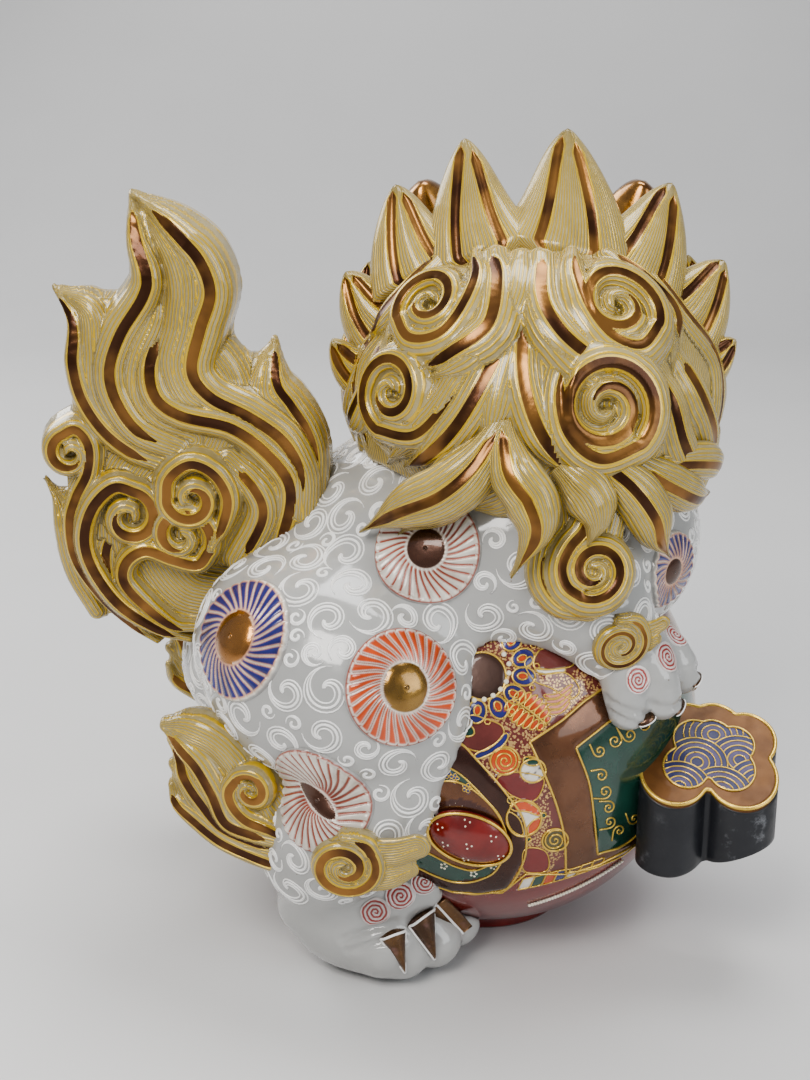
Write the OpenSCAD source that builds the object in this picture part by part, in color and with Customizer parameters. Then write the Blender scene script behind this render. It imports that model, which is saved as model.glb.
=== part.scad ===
// Porcelain guardian lion draped over a brocade ball.
// Origin: centre of the ball's foot on the table. +X is where the chest points,
// +Y is the side the lion's face looks to, +Z is up.

/* [Ball] */
// outer radius of the brocade ball
ball_r = 100; // [80:1:120]
// height of the ball's centre above the table
ball_z = 97; // [80:1:115]
// radius of the foot under the ball
foot_r = 40; // [25:1:60]
// height of the foot
foot_h = 6; // [3:0.5:10]
// long half axis of the oval cabochon on the ball
cabochon_long = 21; // [10:1:30]
// short half axis of the oval cabochon
cabochon_short = 14; // [8:1:24]

/* [Body] */
// thickness of the slip-cast walls
wall = 7; // [3:0.5:10]
// half width of the body at the shoulders
shoulder_w = 84; // [60:1:100]
// half width of the body at the hips
hip_w = 60; // [45:1:80]
// half width between the two knees
knee_y = 80; // [60:1:100]
// half width between the two hind paws
paw_y = 70; // [55:1:95]
// half width between the two fore paws
fore_y = 56; // [40:1:75]

/* [Head] */
// centre of the head, left to right
head_x = 20; // [0:1:50]
// centre of the head, towards the face
head_y = 22; // [0:1:50]
// centre of the head, height
head_z = 250; // [220:1:280]
// half width of the skull
skull_r = 62; // [50:1:75]
// half width of the mane
mane_rx = 84; // [70:1:95]
// half depth of the mane
mane_ry = 80; // [60:1:90]
// half height of the mane
mane_rz = 80; // [65:1:95]
// thickness of the mane's shell
mane_wall = 12; // [6:1:20]

/* [Tail] */
// left to right place of the tail's root
tail_x = -128; // [-140:1:-110]
// height of the tail's root
tail_z = 158; // [140:1:180]
// height of the tail's highest tip
tail_top = 342; // [300:1:380]

/* [Knot] */
// left to right place of the knot's middle
knot_x = 97; // [85:1:115]
// front to back place of the knot's middle
knot_y = -66; // [-80:1:-50]
// height of the knot's under side
knot_low = 55; // [30:1:60]
// slope of the knot's top
knot_tilt = 42; // [20:1:55]

/* [Medallions] */
// radius of the largest chrysanthemum medallion
kiku_r = 25; // [18:1:32]
// how far a medallion stands out of the glaze
kiku_h = 4; // [2:0.5:8]

/* [Hidden] */
$fn = 40;
ball_c = [0, 0, ball_z];
head_c = [head_x, head_y, head_z];
mane_c = [head_x, head_y - 20, head_z - 1];
face_y = head_y + 26;
far_paw_y = paw_y + 8;
far_step = [-17, 0, 0];
porcelain = "Gainsboro";
hair = "DarkKhaki";
copper = "SaddleBrown";

// ---------- curves ----------

function unit(v) = v / max(norm(v), 0.000001);
function cubic(a, b, c, d, t) = 0.5 * (2 * b + (c - a) * t
    + (2 * a - 5 * b + 4 * c - d) * t * t + (3 * b - a - 3 * c + d) * t * t * t);
// a smooth curve through the stations, k steps between two of them
function curve(p, k) = concat([for (i = [0 : len(p) - 2]) for (j = [0 : k - 1])
    cubic(p[max(i - 1, 0)], p[i], p[i + 1], p[min(i + 2, len(p) - 1)], j / k)],
    [p[len(p) - 1]]);
function at(q) = [q[0], q[1], q[2]];
function small(q) = min(q[3], q[4]);
// a rounded end: two rings beyond station a, seen from station b
function cap_ring(a, b, out, part) = let (d = unit(at(a) - at(b)), s = small(a))
    [a[0] + d[0] * s * out, a[1] + d[1] * s * out, a[2] + d[2] * s * out,
     a[3] * part, a[4] * part];
function domed(p) = let (n = len(p) - 1) concat(
    [cap_ring(p[0], p[1], 0.92, 0.38), cap_ring(p[0], p[1], 0.62, 0.78)], p,
    [cap_ring(p[n], p[n - 1], 0.62, 0.78), cap_ring(p[n], p[n - 1], 0.92, 0.38)]);
// the stations of a casting's inner wall
function inside(p) = [for (q = p) [q[0], q[1], q[2], q[3] - wall, q[4] - wall]];
// a flat spiral of hair round c, its axis along n
function spiral(c, n, r, start, turn, w, h) =
    let (e = unit(cross(abs(n[2]) > 0.9 ? [0, 1, 0] : [0, 0, 1], n)), g = cross(n, e))
    [for (i = [0 : 7])
        let (k = i / 7, a = start + turn * k, q = r * (1 - 0.86 * k),
             m = c + q * (e * cos(a) + g * sin(a)) + n * (5 * k))
        [m[0], m[1], m[2], w * (1 - 0.45 * k), h * (1 - 0.2 * k)]];
// a point on the mane, by its bearing from the back and its height angle
function on_mane(bearing, height, out = 1) = mane_c + out * [
    mane_rx * sin(bearing) * cos(height), -mane_ry * cos(bearing) * cos(height),
    mane_rz * sin(height)];
function mane_out(bearing, height) = unit([
    sin(bearing) * cos(height) / mane_rx, -cos(bearing) * cos(height) / mane_ry,
    sin(height) / mane_rz]);
// a lock of hair laid on the mane: [bearing, height, out, half width, half thickness]
function lock(p) = [for (q = p) let (m = on_mane(q[0], q[1], q[2]))
    [m[0], m[1], m[2], q[3], q[4]]];

// ---------- solids ----------

module cast() resize([0, 0, 0]) children();

// rings of oval section along the stations; up sets which way the second radius points
module loft(stations, up = [0, 0, 1], sides = 12, steps = 2) {
    p = curve(stations, steps);
    n = len(p);
    rings = [for (i = [0 : n - 1])
        let (t = unit(at(p[min(i + 1, n - 1)]) - at(p[max(i - 1, 0)])),
             s = unit(cross(t, up)), u = cross(s, t))
        for (j = [0 : sides - 1])
            let (a = 360 * j / sides)
            at(p[i]) + s * p[i][3] * cos(a) + u * p[i][4] * sin(a)];
    points = concat(rings, [at(p[0]), at(p[n - 1])]);
    first = n * sides;
    faces = concat(
        [for (j = [0 : sides - 1]) [first, (j + 1) % sides, j]],
        [for (i = [0 : n - 2]) for (j = [0 : sides - 1])
            [i * sides + j, i * sides + (j + 1) % sides, (i + 1) * sides + (j + 1) % sides]],
        [for (i = [0 : n - 2]) for (j = [0 : sides - 1])
            [i * sides + j, (i + 1) * sides + (j + 1) % sides, (i + 1) * sides + j]],
        [for (j = [0 : sides - 1])
            [first + 1, (n - 1) * sides + j, (n - 1) * sides + (j + 1) % sides]]);
    polyhedron(points, faces, convexity = 8);
}

module limb(p, sides = 12) loft(domed(p), sides = sides);

module oval(c, r, sides = 18) translate(c) scale(r) sphere(1, $fn = sides);

module ball_core(grow = 0) translate(ball_c) sphere(ball_r + grow, $fn = 36);

// ---------- stations of the body ----------

torso_path = [[-112, 0, 120, 42, 34], [-90, 0, 134, hip_w, 48], [-50, 0, 160, 76, 60],
    [-12, 1, 183, shoulder_w - 1, 64], [24, 2, 196, shoulder_w, 64],
    [54, 2, 186, 62, 46]];
haunch_path = [[-97, -43, 152, 37, 40], [-77, -56, 145, 49, 50], [-54, -66, 138, 49, 50],
    [-36, -knee_y + 8, 118, 34, 36]];
hind_leg_path = [[-42, -knee_y, 98, 29, 28], [-62, -80, 80, 33, 33],
    [-80, -72, 58, 26, 29]];
hind_paw_path = [[-76, -66, 38.3, 21, 26], [-62, -68, 29, 24, 30],
    [-46, -paw_y, 20, 30, 23]];
foreleg_path = [[28, -46, 188, 38, 34], [41, -62, 175, 26, 28], [51, -fore_y - 8, 163, 20, 20]];
fore_paw_path = [[51, -fore_y - 8, 160, 17, 19], [61, -fore_y - 8, 153, 20, 18],
    [68, -fore_y - 6, 146, 19, 15]];

module torso_core() limb(torso_path, 16);
module haunch_core() limb(haunch_path, 16);
module leg_core() limb(hind_leg_path);
module paw_core() {
    limb(hind_paw_path);
    hind_toes();
}
module foreleg_core() limb(foreleg_path);
module far() mirror([0, 1, 0]) children();
// the far hind leg stands a little further back, and its paw a little wider
module far_leg() translate(far_step) far() children();
module far_paw() translate(far_step + [0, far_paw_y - paw_y, 0]) far() children();

module hind_toes() {
    limb([[-58, -paw_y - 3.4, 16, 12, 17], [-40, -paw_y - 10.2, 14.3, 13, 16]], 9);
    limb([[-47, -paw_y + 5.3, 17, 12, 18], [-26, -paw_y - 2, 15.2, 13, 17]], 9);
    limb([[-38, -paw_y + 15.2, 17, 11, 18], [-16, -paw_y + 11.4, 16.4, 12, 17]], 9);
}

module fore_toes() {
    limb([[54, -fore_y - 19, 150, 8, 9], [58, -fore_y - 21, 136, 9, 9]], 8);
    limb([[66, -fore_y - 14, 152, 9, 9], [72, -fore_y - 17, 138, 9, 9]], 8);
    limb([[74, -fore_y - 1, 154, 9, 9], [82, -fore_y - 3, 142, 9, 9]], 8);
}

// one pointed claw from its root to its tip
module claw(root, tip, r) loft([
    [root[0], root[1], root[2], r, r * 0.8],
    [(root[0] + tip[0]) / 2, (root[1] + tip[1]) / 2, (root[2] + tip[2]) / 2 + 2,
     r * 0.72, r * 0.6],
    [tip[0], tip[1], tip[2], 0.8, 0.8]], sides = 6, steps = 1);

module hind_claws() {
    claw([-36, -paw_y - 17, 22], [-31, -paw_y - 23, 7], 6);
    claw([-22, -paw_y - 9, 23], [-15, -paw_y - 14, 8], 6);
    claw([-12, -paw_y + 5, 25], [-5, -paw_y + 2, 11], 5.5);
}

module fore_claws() {
    claw([60, -fore_y - 26, 135], [62, -fore_y - 27, 123], 4.5);
    claw([75, -fore_y - 21, 136], [77, -fore_y - 22, 124], 4.5);
    claw([85, -fore_y - 5, 139], [88, -fore_y - 7, 127], 4.5);
}

// ---------- body castings ----------

module torso() color(porcelain) cast() difference() {
    torso_core();
    loft(domed(inside(torso_path)), sides = 12, steps = 1);
    ball_core();
    near_seats();
    far_leg() near_seats();
    far() seat(shoulder_c, shoulder_n, shoulder_r);
    seat(breast_c, breast_n, breast_r);
}

module haunch_right() color(porcelain) cast() difference() {
    haunch_core();
    loft(domed(inside(haunch_path)), sides = 12, steps = 1);
    torso_core();
    ball_core();
    near_seats();
    seat(shank_c, shank_n, shank_r);
}

module haunch_left() color(porcelain) cast() difference() {
    far_leg() haunch_core();
    far_leg() loft(domed(inside(haunch_path)), sides = 12, steps = 1);
    torso_core();
    ball_core();
    far_leg() near_seats();
}

module hind_leg_right() color(porcelain) cast() difference() {
    leg_core();
    haunch_core();
    torso_core();
    ball_core();
    seat(shank_c, shank_n, shank_r);
}

module hind_leg_left() color(porcelain) cast() difference() {
    far_leg() leg_core();
    far_leg() haunch_core();
    torso_core();
    ball_core();
}

module on_table() intersection() {
    children();
    translate([-200, -200, 0]) cube([400, 400, 400]);
}

module hind_paw_right() color(porcelain) cast() on_table() difference() {
    paw_core();
    leg_core();
    ball_core(0.3);
}

module hind_paw_left() color(porcelain) cast() on_table() difference() {
    far_paw() paw_core();
    far_leg() leg_core();
    ball_core();
}

module foreleg_cut() difference() {
    foreleg_core();
    torso_core();
    ball_core();
}

module foreleg_right() color(porcelain) cast() foreleg_cut();
module foreleg_left() color(porcelain) cast() far() foreleg_cut();

module fore_paw_core() {
    limb(fore_paw_path);
    fore_toes();
}

module fore_paw_cut() difference() {
    fore_paw_core();
    foreleg_core();
    torso_core();
    ball_core();
}

module fore_paw_right() color(porcelain) cast() fore_paw_cut();
module fore_paw_left() color(porcelain) cast() far() fore_paw_cut();

module claws_hind_right() color(copper) cast() difference() {
    hind_claws();
    hind_toes();
}

module claws_hind_left() color(copper) cast() difference() {
    far_paw() hind_claws();
    far_paw() hind_toes();
}

module claws_fore_right() color(copper) cast() difference() {
    fore_claws();
    fore_toes();
    ball_core();
}

module claws_fore_left() color(copper) cast() far() difference() {
    fore_claws();
    fore_toes();
    ball_core();
}

// ---------- head ----------

module skull() oval(head_c, [skull_r, 64, 62], 20);

module head() color(porcelain) cast() difference() {
    skull();
    oval(head_c, [skull_r - wall, 64 - wall, 62 - wall], 16);
    torso_core();
}

muzzle_path = [[head_x, head_y + 48, head_z - 22, 40, 27],
    [head_x, head_y + 70, head_z - 22, 36, 23], [head_x, head_y + 82, head_z - 20, 26, 17]];
jaw_path = [[head_x, head_y + 34, head_z - 56, 33, 14],
    [head_x, head_y + 56, head_z - 60, 29, 12], [head_x, head_y + 72, head_z - 58, 20, 9]];

module muzzle() color(porcelain) cast() difference() {
    union() {
        limb(muzzle_path, 14);
        for (s = [-1, 1])
            oval([head_x + s * 12, head_y + 88, head_z - 8], [11, 10, 10], 12);
    }
    skull();
}

module lower_jaw() color(porcelain) cast() difference() {
    limb(jaw_path, 14);
    skull();
    torso_core();
}

module tongue() color("Firebrick") cast() difference() {
    limb([[head_x, head_y + 50, head_z - 50, 16, 5], [head_x, head_y + 68, head_z - 47, 15, 4],
        [head_x, head_y + 80, head_z - 47, 10, 3]], 10);
    skull();
    limb(jaw_path, 14);
}

module teeth() color("Ivory") cast() difference() {
    for (s = [-1, 1]) {
        claw([head_x + s * 21, head_y + 74, head_z - 38], [head_x + s * 19, head_y + 76, head_z - 54], 5);
        claw([head_x + s * 25, head_y + 60, head_z - 52], [head_x + s * 24, head_y + 63, head_z - 38], 4.5);
        for (k = [0 : 2])
            claw([head_x + s * (4 + 6 * k), head_y + 84 - 2 * k, head_z - 34],
                [head_x + s * (4 + 6 * k), head_y + 85 - 2 * k, head_z - 43], 3);
    }
    limb(muzzle_path, 14);
    limb(jaw_path, 14);
}

module eye(s) color("White") cast() difference() {
    oval([head_x + s * 23, head_y + 57, head_z + 10], [12, 12, 11], 14);
    skull();
    limb(muzzle_path, 14);
}

// the face looks to +Y, so the lion's own right eye is on the +X side
module eye_right() eye(1);
module eye_left() eye(-1);

module brows() color(hair) cast() difference() {
    for (s = [-1, 1])
        loft([[head_x + s * 6, head_y + 60, head_z + 20, 8, 7],
            [head_x + s * 20, head_y + 58, head_z + 29, 10, 8],
            [head_x + s * 38, head_y + 48, head_z + 30, 9, 8],
            [head_x + s * 52, head_y + 32, head_z + 40, 1.5, 1.5]], sides = 8);
    skull();
    for (s = [-1, 1])
        oval([head_x + s * 23, head_y + 57, head_z + 10], [12, 12, 11], 14);
}

// the ears stand up behind the crest
module ear(s) color(copper) cast() difference() {
    loft(domed([[head_x + 3 + s * 34, head_y + 20, head_z + 50, 16, 10],
        [head_x + 3 + s * 44, head_y + 23, head_z + 68, 16, 9],
        [head_x + 3 + s * 50, head_y + 24, head_z + 80, 9, 7]]), up = [0, 1, 0], sides = 10);
    skull();
    mane_shape();
}

module ear_right() ear(1);
module ear_left() ear(-1);

module beard() color(hair) cast() difference() {
    for (k = [-2 : 2])
        loft([[head_x + 13 * k, head_y + 58 - 4 * abs(k), head_z - 62, 9, 7],
            [head_x + 16 * k, head_y + 64 - 5 * abs(k), head_z - 78, 8, 6],
            [head_x + 15 * k, head_y + 62 - 5 * abs(k), head_z - 98 + 6 * abs(k), 1.2, 1.2]],
            up = [0, 1, 0], sides = 8);
    limb(jaw_path, 14);
    torso_core();
}

// ---------- mane ----------

module mane_shape() intersection() {
    oval(mane_c, [mane_rx, mane_ry, mane_rz], 24);
    translate([-200, -200, 0]) cube([400, 200 + face_y, 400]);
}

module mane_cap() color(hair) cast() difference() {
    mane_shape();
    oval(mane_c, [mane_rx - mane_wall, mane_ry - mane_wall, mane_rz - mane_wall], 18);
    skull();
    torso_core();
}

// one flame-shaped spike of the crest, pointing away from the mane's middle
module spike(tip, w) {
    d = tip - mane_c;
    a = mane_c + 0.62 * d;
    b = mane_c + 0.82 * d + [0, 2, 3];
    loft([[a[0], a[1], a[2], w, 14], [b[0], b[1], b[2], w * 0.62, 10],
        [tip[0], tip[1], tip[2], 1.2, 1.2]], up = [0, 1, 0], sides = 8, steps = 2);
}

module mane_crest() color(hair) cast() difference() {
    union() {
        spike([-72, -12, 277], 20);
        spike([-65, 0, 304], 22);
        spike([-41, 5, 341], 23);
        spike([-11, 14, 359], 24);
        spike([34, 15, 364], 27);
        spike([80, 14, 341], 25);
        spike([103, 8, 308], 23);
        spike([108, -2, 274], 20);
    }
    mane_shape();
}

module curl(bearing, height, r, start, turn, w, h)
    loft(spiral(on_mane(bearing, height, 1.04), mane_out(bearing, height), r, start, turn,
        w, h), up = mane_out(bearing, height), sides = 6, steps = 2);

// a curl of hair standing on the shoulder
module spiral_lock(c, r) loft(spiral(c, [0.05, -1, 0.25], r, 200, -520, 6, 8),
    up = [0, -1, 0], sides = 8, steps = 2);

module mane_curls_upper() color(hair) cast() difference() {
    union() {
        curl(-36, 44, 20, 60, -540, 7, 8);
        curl(28, 44, 20, 120, 540, 7, 8);
        curl(-82, 30, 15, 60, -500, 6, 7);
        curl(78, 30, 15, 120, 500, 6, 7);
    }
    mane_shape();
}

module mane_curls_lower() color(hair) cast() difference() {
    union() {
        curl(-52, 13, 16, 60, -540, 6, 8);
        curl(19, 12, 25, 120, 560, 8, 9);
        spiral_lock([44, -84, 196], 13);
        curl(-10, 20, 14, 60, -500, 6, 7);
    }
    mane_shape();
}

module mane_locks() color(hair) cast() difference() {
    union() {
        loft(lock([[0, 58, 1, 12, 7], [-18, 34, 1.05, 15, 10], [-32, 4, 1.05, 14, 9],
            [-58, -22, 1.03, 8, 7], [-72, -34, 1, 1.5, 1.5]]), up = [0, -1, 0.2], sides = 8);
        loft(lock([[2, 58, 1, 12, 7], [14, 34, 1.05, 15, 10], [34, 8, 1.05, 16, 9],
            [56, -12, 1.03, 10, 7], [74, -26, 1, 1.5, 1.5]]), up = [0, -1, 0.2], sides = 8);
        loft(lock([[0, 30, 1, 12, 7], [-20, 2, 1.05, 15, 9], [-40, -20, 1.04, 13, 8],
            [-68, -36, 1.02, 1.5, 1.5]]), up = [0, -1, 0], sides = 8);
    }
    mane_shape();
}

module mane_nape() color(hair) cast() difference() {
    union() {
        loft(lock([[-10, 4, 0.98, 14, 9], [-16, -16, 1.08, 14, 10], [-12, -28, 1.22, 10, 8],
            [-14, -37, 1.36, 1.5, 1.5]]), up = [0, -1, 0], sides = 8);
        loft(lock([[14, 0, 0.98, 14, 9], [6, -17, 1.1, 14, 10], [0, -30, 1.28, 10, 8],
            [6, -42, 1.44, 1.5, 1.5]]), up = [0, -1, 0], sides = 8);
        loft(lock([[32, -6, 0.98, 13, 9], [24, -22, 1.12, 13, 10], [16, -35, 1.3, 9, 8],
            [20, -46, 1.42, 1.5, 1.5]]), up = [0, -1, 0], sides = 8);
        loft(lock([[-26, 2, 0.98, 13, 8], [-34, -13, 1.12, 13, 9], [-42, -22, 1.26, 9, 7],
            [-50, -28, 1.36, 1.5, 1.5]]), up = [0, -1, 0], sides = 8);
    }
    mane_shape();
    torso_core();
}

module mane_cheeks() color(hair) cast() difference() {
    union() {
        for (s = [-1, 1], k = [0 : 2])
            loft(lock([[s * (62 + 22 * k), 14 - 4 * k, 0.98, 13, 8],
                [s * (66 + 22 * k), -14, 1.06, 12, 9],
                [s * (62 + 20 * k), -34, 1.12, 8, 7],
                [s * (56 + 20 * k), -46 + 4 * k, 1.15, 1.5, 1.5]]),
                up = [s * 0.8, -0.4, 0], sides = 8);
    }
    mane_shape();
    torso_core();
}

// ---------- tail ----------

plume_path = [[tail_x + 6, -4, tail_z - 20, 20, 18], [tail_x, -10, tail_z + 14, 42, 27],
    [tail_x - 7, -13, tail_z + 46, 50, 29], [tail_x - 10, -13, tail_z + 74, 44, 27],
    [tail_x - 11, -11, tail_z + 106, 31, 22], [tail_x - 10, -9, tail_z + 138, 24, 17],
    [tail_x - 15, -7, tail_z + 162, 15, 11], [tail_x - 28, -5, tail_top, 1.5, 1.5]];
flame_up = [0, 1, 0];

module plume_core() loft(plume_path, up = flame_up, sides = 14, steps = 2);

module tail_plume() color(hair) cast() difference() {
    plume_core();
    loft([for (i = [1 : 5]) let (q = plume_path[i])
        [q[0], q[1], q[2], q[3] - 1.6 * wall, q[4] - 1.6 * wall]], up = flame_up,
        sides = 10, steps = 1);
    torso_core();
    haunch_core();
    far_leg() haunch_core();
}

module tail_flame_left() color(hair) cast() difference() {
    loft([[tail_x - 30, -12, tail_z + 40, 20, 17], [tail_x - 44, -12, tail_z + 70, 21, 18],
        [tail_x - 51, -9, tail_z + 98, 16, 13], [tail_x - 58, -7, tail_z + 122, 9, 8],
        [tail_x - 63, -5, tail_z + 143, 1.5, 1.5]], up = flame_up, sides = 10);
    plume_core();
}

module tail_flame_right() color(hair) cast() difference() {
    loft([[tail_x + 14, -14, tail_z + 8, 20, 18], [tail_x + 27, -15, tail_z + 38, 25, 21],
        [tail_x + 32, -13, tail_z + 68, 21, 18], [tail_x + 31, -9, tail_z + 96, 11, 11],
        [tail_x + 27, -6, tail_z + 119, 1.5, 1.5]], up = flame_up, sides = 10);
    plume_core();
    torso_core();
}

// one spiral of the tail, seen from the side the tail faces
module tail_spiral(x, z, r, start, turn, y = -32)
    loft(spiral([x, y, z], [0, -1, 0], r, start, turn, r * 0.34, 8), up = [0, -1, 0],
        sides = 6, steps = 2);

module tail_curls() color(hair) cast() difference() {
    union() {
        tail_spiral(-130, tail_z + 50, 15, 20, 540, -38);
        tail_spiral(-135, tail_z + 24, 13, 20, 540, -36);
        tail_spiral(-188, tail_z + 76, 12, 200, -520, -14);
        tail_spiral(-170, tail_z + 42, 14, 200, -520, -30);
    }
    plume_core();
}

module tail_sweep() color(hair) cast() difference() {
    union() {
        loft([[tail_x - 2, -18, tail_z - 14, 13, 14], [tail_x - 28, -20, tail_z - 6, 17, 18],
            [tail_x - 48, -18, tail_z + 16, 18, 17], [tail_x - 61, -12, tail_z + 38, 12, 12],
            [tail_x - 70, -8, tail_z + 54, 1.5, 1.5]], up = flame_up, sides = 10);
        loft([[tail_x - 26, -14, tail_z + 30, 16, 14], [tail_x - 50, -12, tail_z + 46, 14, 14],
            [tail_x - 62, -8, tail_z + 70, 10, 9], [tail_x - 60, -6, tail_z + 92, 1.5, 1.5]],
            up = flame_up, sides = 10);
    }
    plume_core();
    torso_core();
    haunch_core();
}

// ---------- tufts ----------

module hock_tuft() {
    loft([[-84, -78, 54, 11, 13], [-108, -76, 66, 15, 16], [-126, -68, 86, 14, 13],
        [-142, -62, 114, 1.5, 1.5]], up = flame_up, sides = 8);
    loft([[-84, -76, 44, 10, 12], [-106, -74, 54, 12, 13], [-126, -68, 66, 10, 10],
        [-141, -62, 86, 1.5, 1.5]], up = flame_up, sides = 8);
    loft(spiral([-103, -90, 80], unit([-0.2, -1, 0.15]), 13, 200, -520, 5, 7),
        up = [0, -1, 0], sides = 8);
}

module hock_cut() difference() {
    hock_tuft();
    leg_core();
    haunch_core();
    paw_core();
}

module tuft_hock_right() color(hair) cast() hock_cut();
module tuft_hock_left() color(hair) cast() difference() {
    far_leg() hock_tuft();
    far_leg() leg_core();
    far_leg() haunch_core();
    far_paw() paw_core();
}

module ankle_tuft() {
    loft(spiral([-66, -103, 56], unit([-0.1, -1, 0.35]), 14, 140, -430, 6, 9),
        up = [0, -1, 0.1], sides = 8);
    loft([[-70, -100, 65, 9, 9], [-52, -104, 70, 10, 9], [-36, -98, 76, 1.5, 1.5]],
        up = [0, -1, 0], sides = 8);
}

module tuft_ankle_right() color(hair) cast() difference() {
    ankle_tuft();
    leg_core();
    paw_core();
}

module tuft_ankle_left() color(hair) cast() difference() {
    far_leg() ankle_tuft();
    far_leg() leg_core();
    far_paw() paw_core();
}

module wrist_tuft() {
    loft(spiral([47, -88, 162], unit([0.05, -1, 0.25]), 12, 140, -430, 4.5, 8),
        up = [0, -1, 0.1], sides = 8);
    loft([[49, -84, 169.5, 7, 7], [61, -84, 172, 7, 6], [73, -76, 179, 1.5, 1.5]],
        up = [0, -1, 0], sides = 8);
}

module wrist_cut() difference() {
    wrist_tuft();
    foreleg_core();
    fore_paw_core();
    torso_core();
}

module tuft_wrist_right() color(hair) cast() wrist_cut();
module tuft_wrist_left() color(hair) cast() far() wrist_cut();

// ---------- ball and knot ----------

module ball() color("SeaGreen") difference() {
    translate(ball_c) sphere(ball_r);
    translate(ball_c) sphere(ball_r - wall);
    translate([0, 0, foot_h - 50]) cylinder(h = 50, r = ball_r);
}

module ball_foot() color("Maroon") cylinder(h = foot_h, r = foot_r);

// where the cabochon sits: a direction from the ball's middle
cabochon_turn = -6;
cabochon_drop = 9;

module at_ball(turn, drop) translate(ball_c) rotate([0, 0, turn]) rotate([90 + drop, 0, 0])
    children();

module ball_cabochon() color("Maroon") cast() difference() {
    at_ball(cabochon_turn, cabochon_drop) translate([0, 0, ball_r - 2])
        rotate([0, 0, 20]) scale([cabochon_long, cabochon_short, 8]) sphere(1, $fn = 24);
    ball_core(-0.2);
}

module knot_plan(grow = 0) offset(r = grow) {
    translate([knot_x - 21, knot_y - 5]) circle(12);
    translate([knot_x - 2, knot_y - 9]) circle(13);
    translate([knot_x + 17, knot_y - 8]) circle(11);
    translate([knot_x + 21, knot_y + 7]) circle(9);
    translate([knot_x + 10, knot_y + 17]) circle(10);
    translate([knot_x - 12, knot_y + 12]) circle(12);
    translate([knot_x - 14, knot_y - 10]) square([30, 24]);
}

knot_top = 99;

// everything under the slanted top of the knot, lift mm above it
module under_slope(lift) translate([knot_x, knot_y, knot_top + lift]) rotate([knot_tilt, 0, 0])
    translate([-100, -100, -200]) cube([200, 200, 200]);

module ribbon_knot() color("DimGray") difference() {
    intersection() {
        translate([0, 0, knot_low]) linear_extrude(height = 100) knot_plan();
        under_slope(0);
    }
    translate(ball_c) sphere(ball_r + 0.5);
}

module knot_cap() color("SteelBlue") difference() {
    intersection() {
        translate([0, 0, knot_low]) linear_extrude(height = 100) knot_plan(-2);
        under_slope(2.5);
    }
    under_slope(0);
    translate(ball_c) sphere(ball_r + 0.5);
}

knot_c = [knot_x, knot_y, knot_low + 26];

// the neck runs from the ball's middle towards the knot's
module ribbon_neck() color("Black") difference() {
    translate(ball_c) rotate([0, 0, atan2(knot_c[1], knot_c[0])])
        rotate([0, 90 + atan2(ball_z - knot_c[2], norm([knot_c[0], knot_c[1]])), 0])
        cylinder(h = norm(knot_c - ball_c), r = 17);
    translate(ball_c) sphere(ball_r);
    translate([0, 0, knot_low]) linear_extrude(height = 100) knot_plan();
}

// ---------- medallions ----------

hip_c = [-107, -82, 167];
hip_n = [-0.5, -0.78, 0.38];
thigh_c = [-39, -106, 156];
thigh_n = [0.24, -0.9, 0.36];
shank_c = [-74, -102, 101];
shank_n = [-0.36, -0.92, 0.12];
shoulder_c = [-29, -73, 205];
shoulder_n = [-0.3, -0.86, 0.41];
breast_c = [77, -48, 186];
breast_n = [0.64, -0.76, 0.12];
kiku_deep = 5;
shank_r = kiku_r * 0.82;
shoulder_r = kiku_r * 0.96;
breast_r = kiku_r * 0.7;

// stands its children on the glaze at c, facing n
module facing(c, n) translate(c) rotate([0, 0, atan2(n[1], n[0])])
    rotate([0, acos(unit(n)[2]), 0]) children();

// a domed disc with a raised boss
module kiku(c, n, r) facing(c, n)
    rotate_extrude() polygon([[0, -kiku_deep], [r, -kiku_deep],
        [r, -kiku_h * 0.3], [r * 0.94, kiku_h * 0.3], [r * 0.5, kiku_h],
        [r * 0.34, kiku_h * 0.6], [r * 0.2, kiku_h * 1.3], [0, kiku_h * 1.5]]);

// the round seat cut in a casting for such a disc
module seat(c, n, r) facing(c, n) translate([0, 0, -kiku_deep])
    cylinder(h = 26, r = r * 1.013, $fn = 20);

module near_seats() {
    seat(hip_c, hip_n, kiku_r);
    seat(thigh_c, thigh_n, kiku_r);
    seat(shoulder_c, shoulder_n, shoulder_r);
}

module kiku_hip_right() color("MediumBlue") kiku(hip_c, hip_n, kiku_r);
module kiku_thigh_right() color("OrangeRed") kiku(thigh_c, thigh_n, kiku_r);
module kiku_shank_right() color("Snow") kiku(shank_c, shank_n, shank_r);
module kiku_shoulder_right() color("Snow") kiku(shoulder_c, shoulder_n, shoulder_r);
module kiku_breast_right() color("MediumBlue") kiku(breast_c, breast_n, breast_r);
module kiku_hip_left() color("OrangeRed") far_leg() kiku(hip_c, hip_n, kiku_r);
module kiku_thigh_left() color("MediumBlue") far_leg() kiku(thigh_c, thigh_n, kiku_r);
module kiku_shoulder_left() color("Snow") far() kiku(shoulder_c, shoulder_n, shoulder_r);

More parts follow.
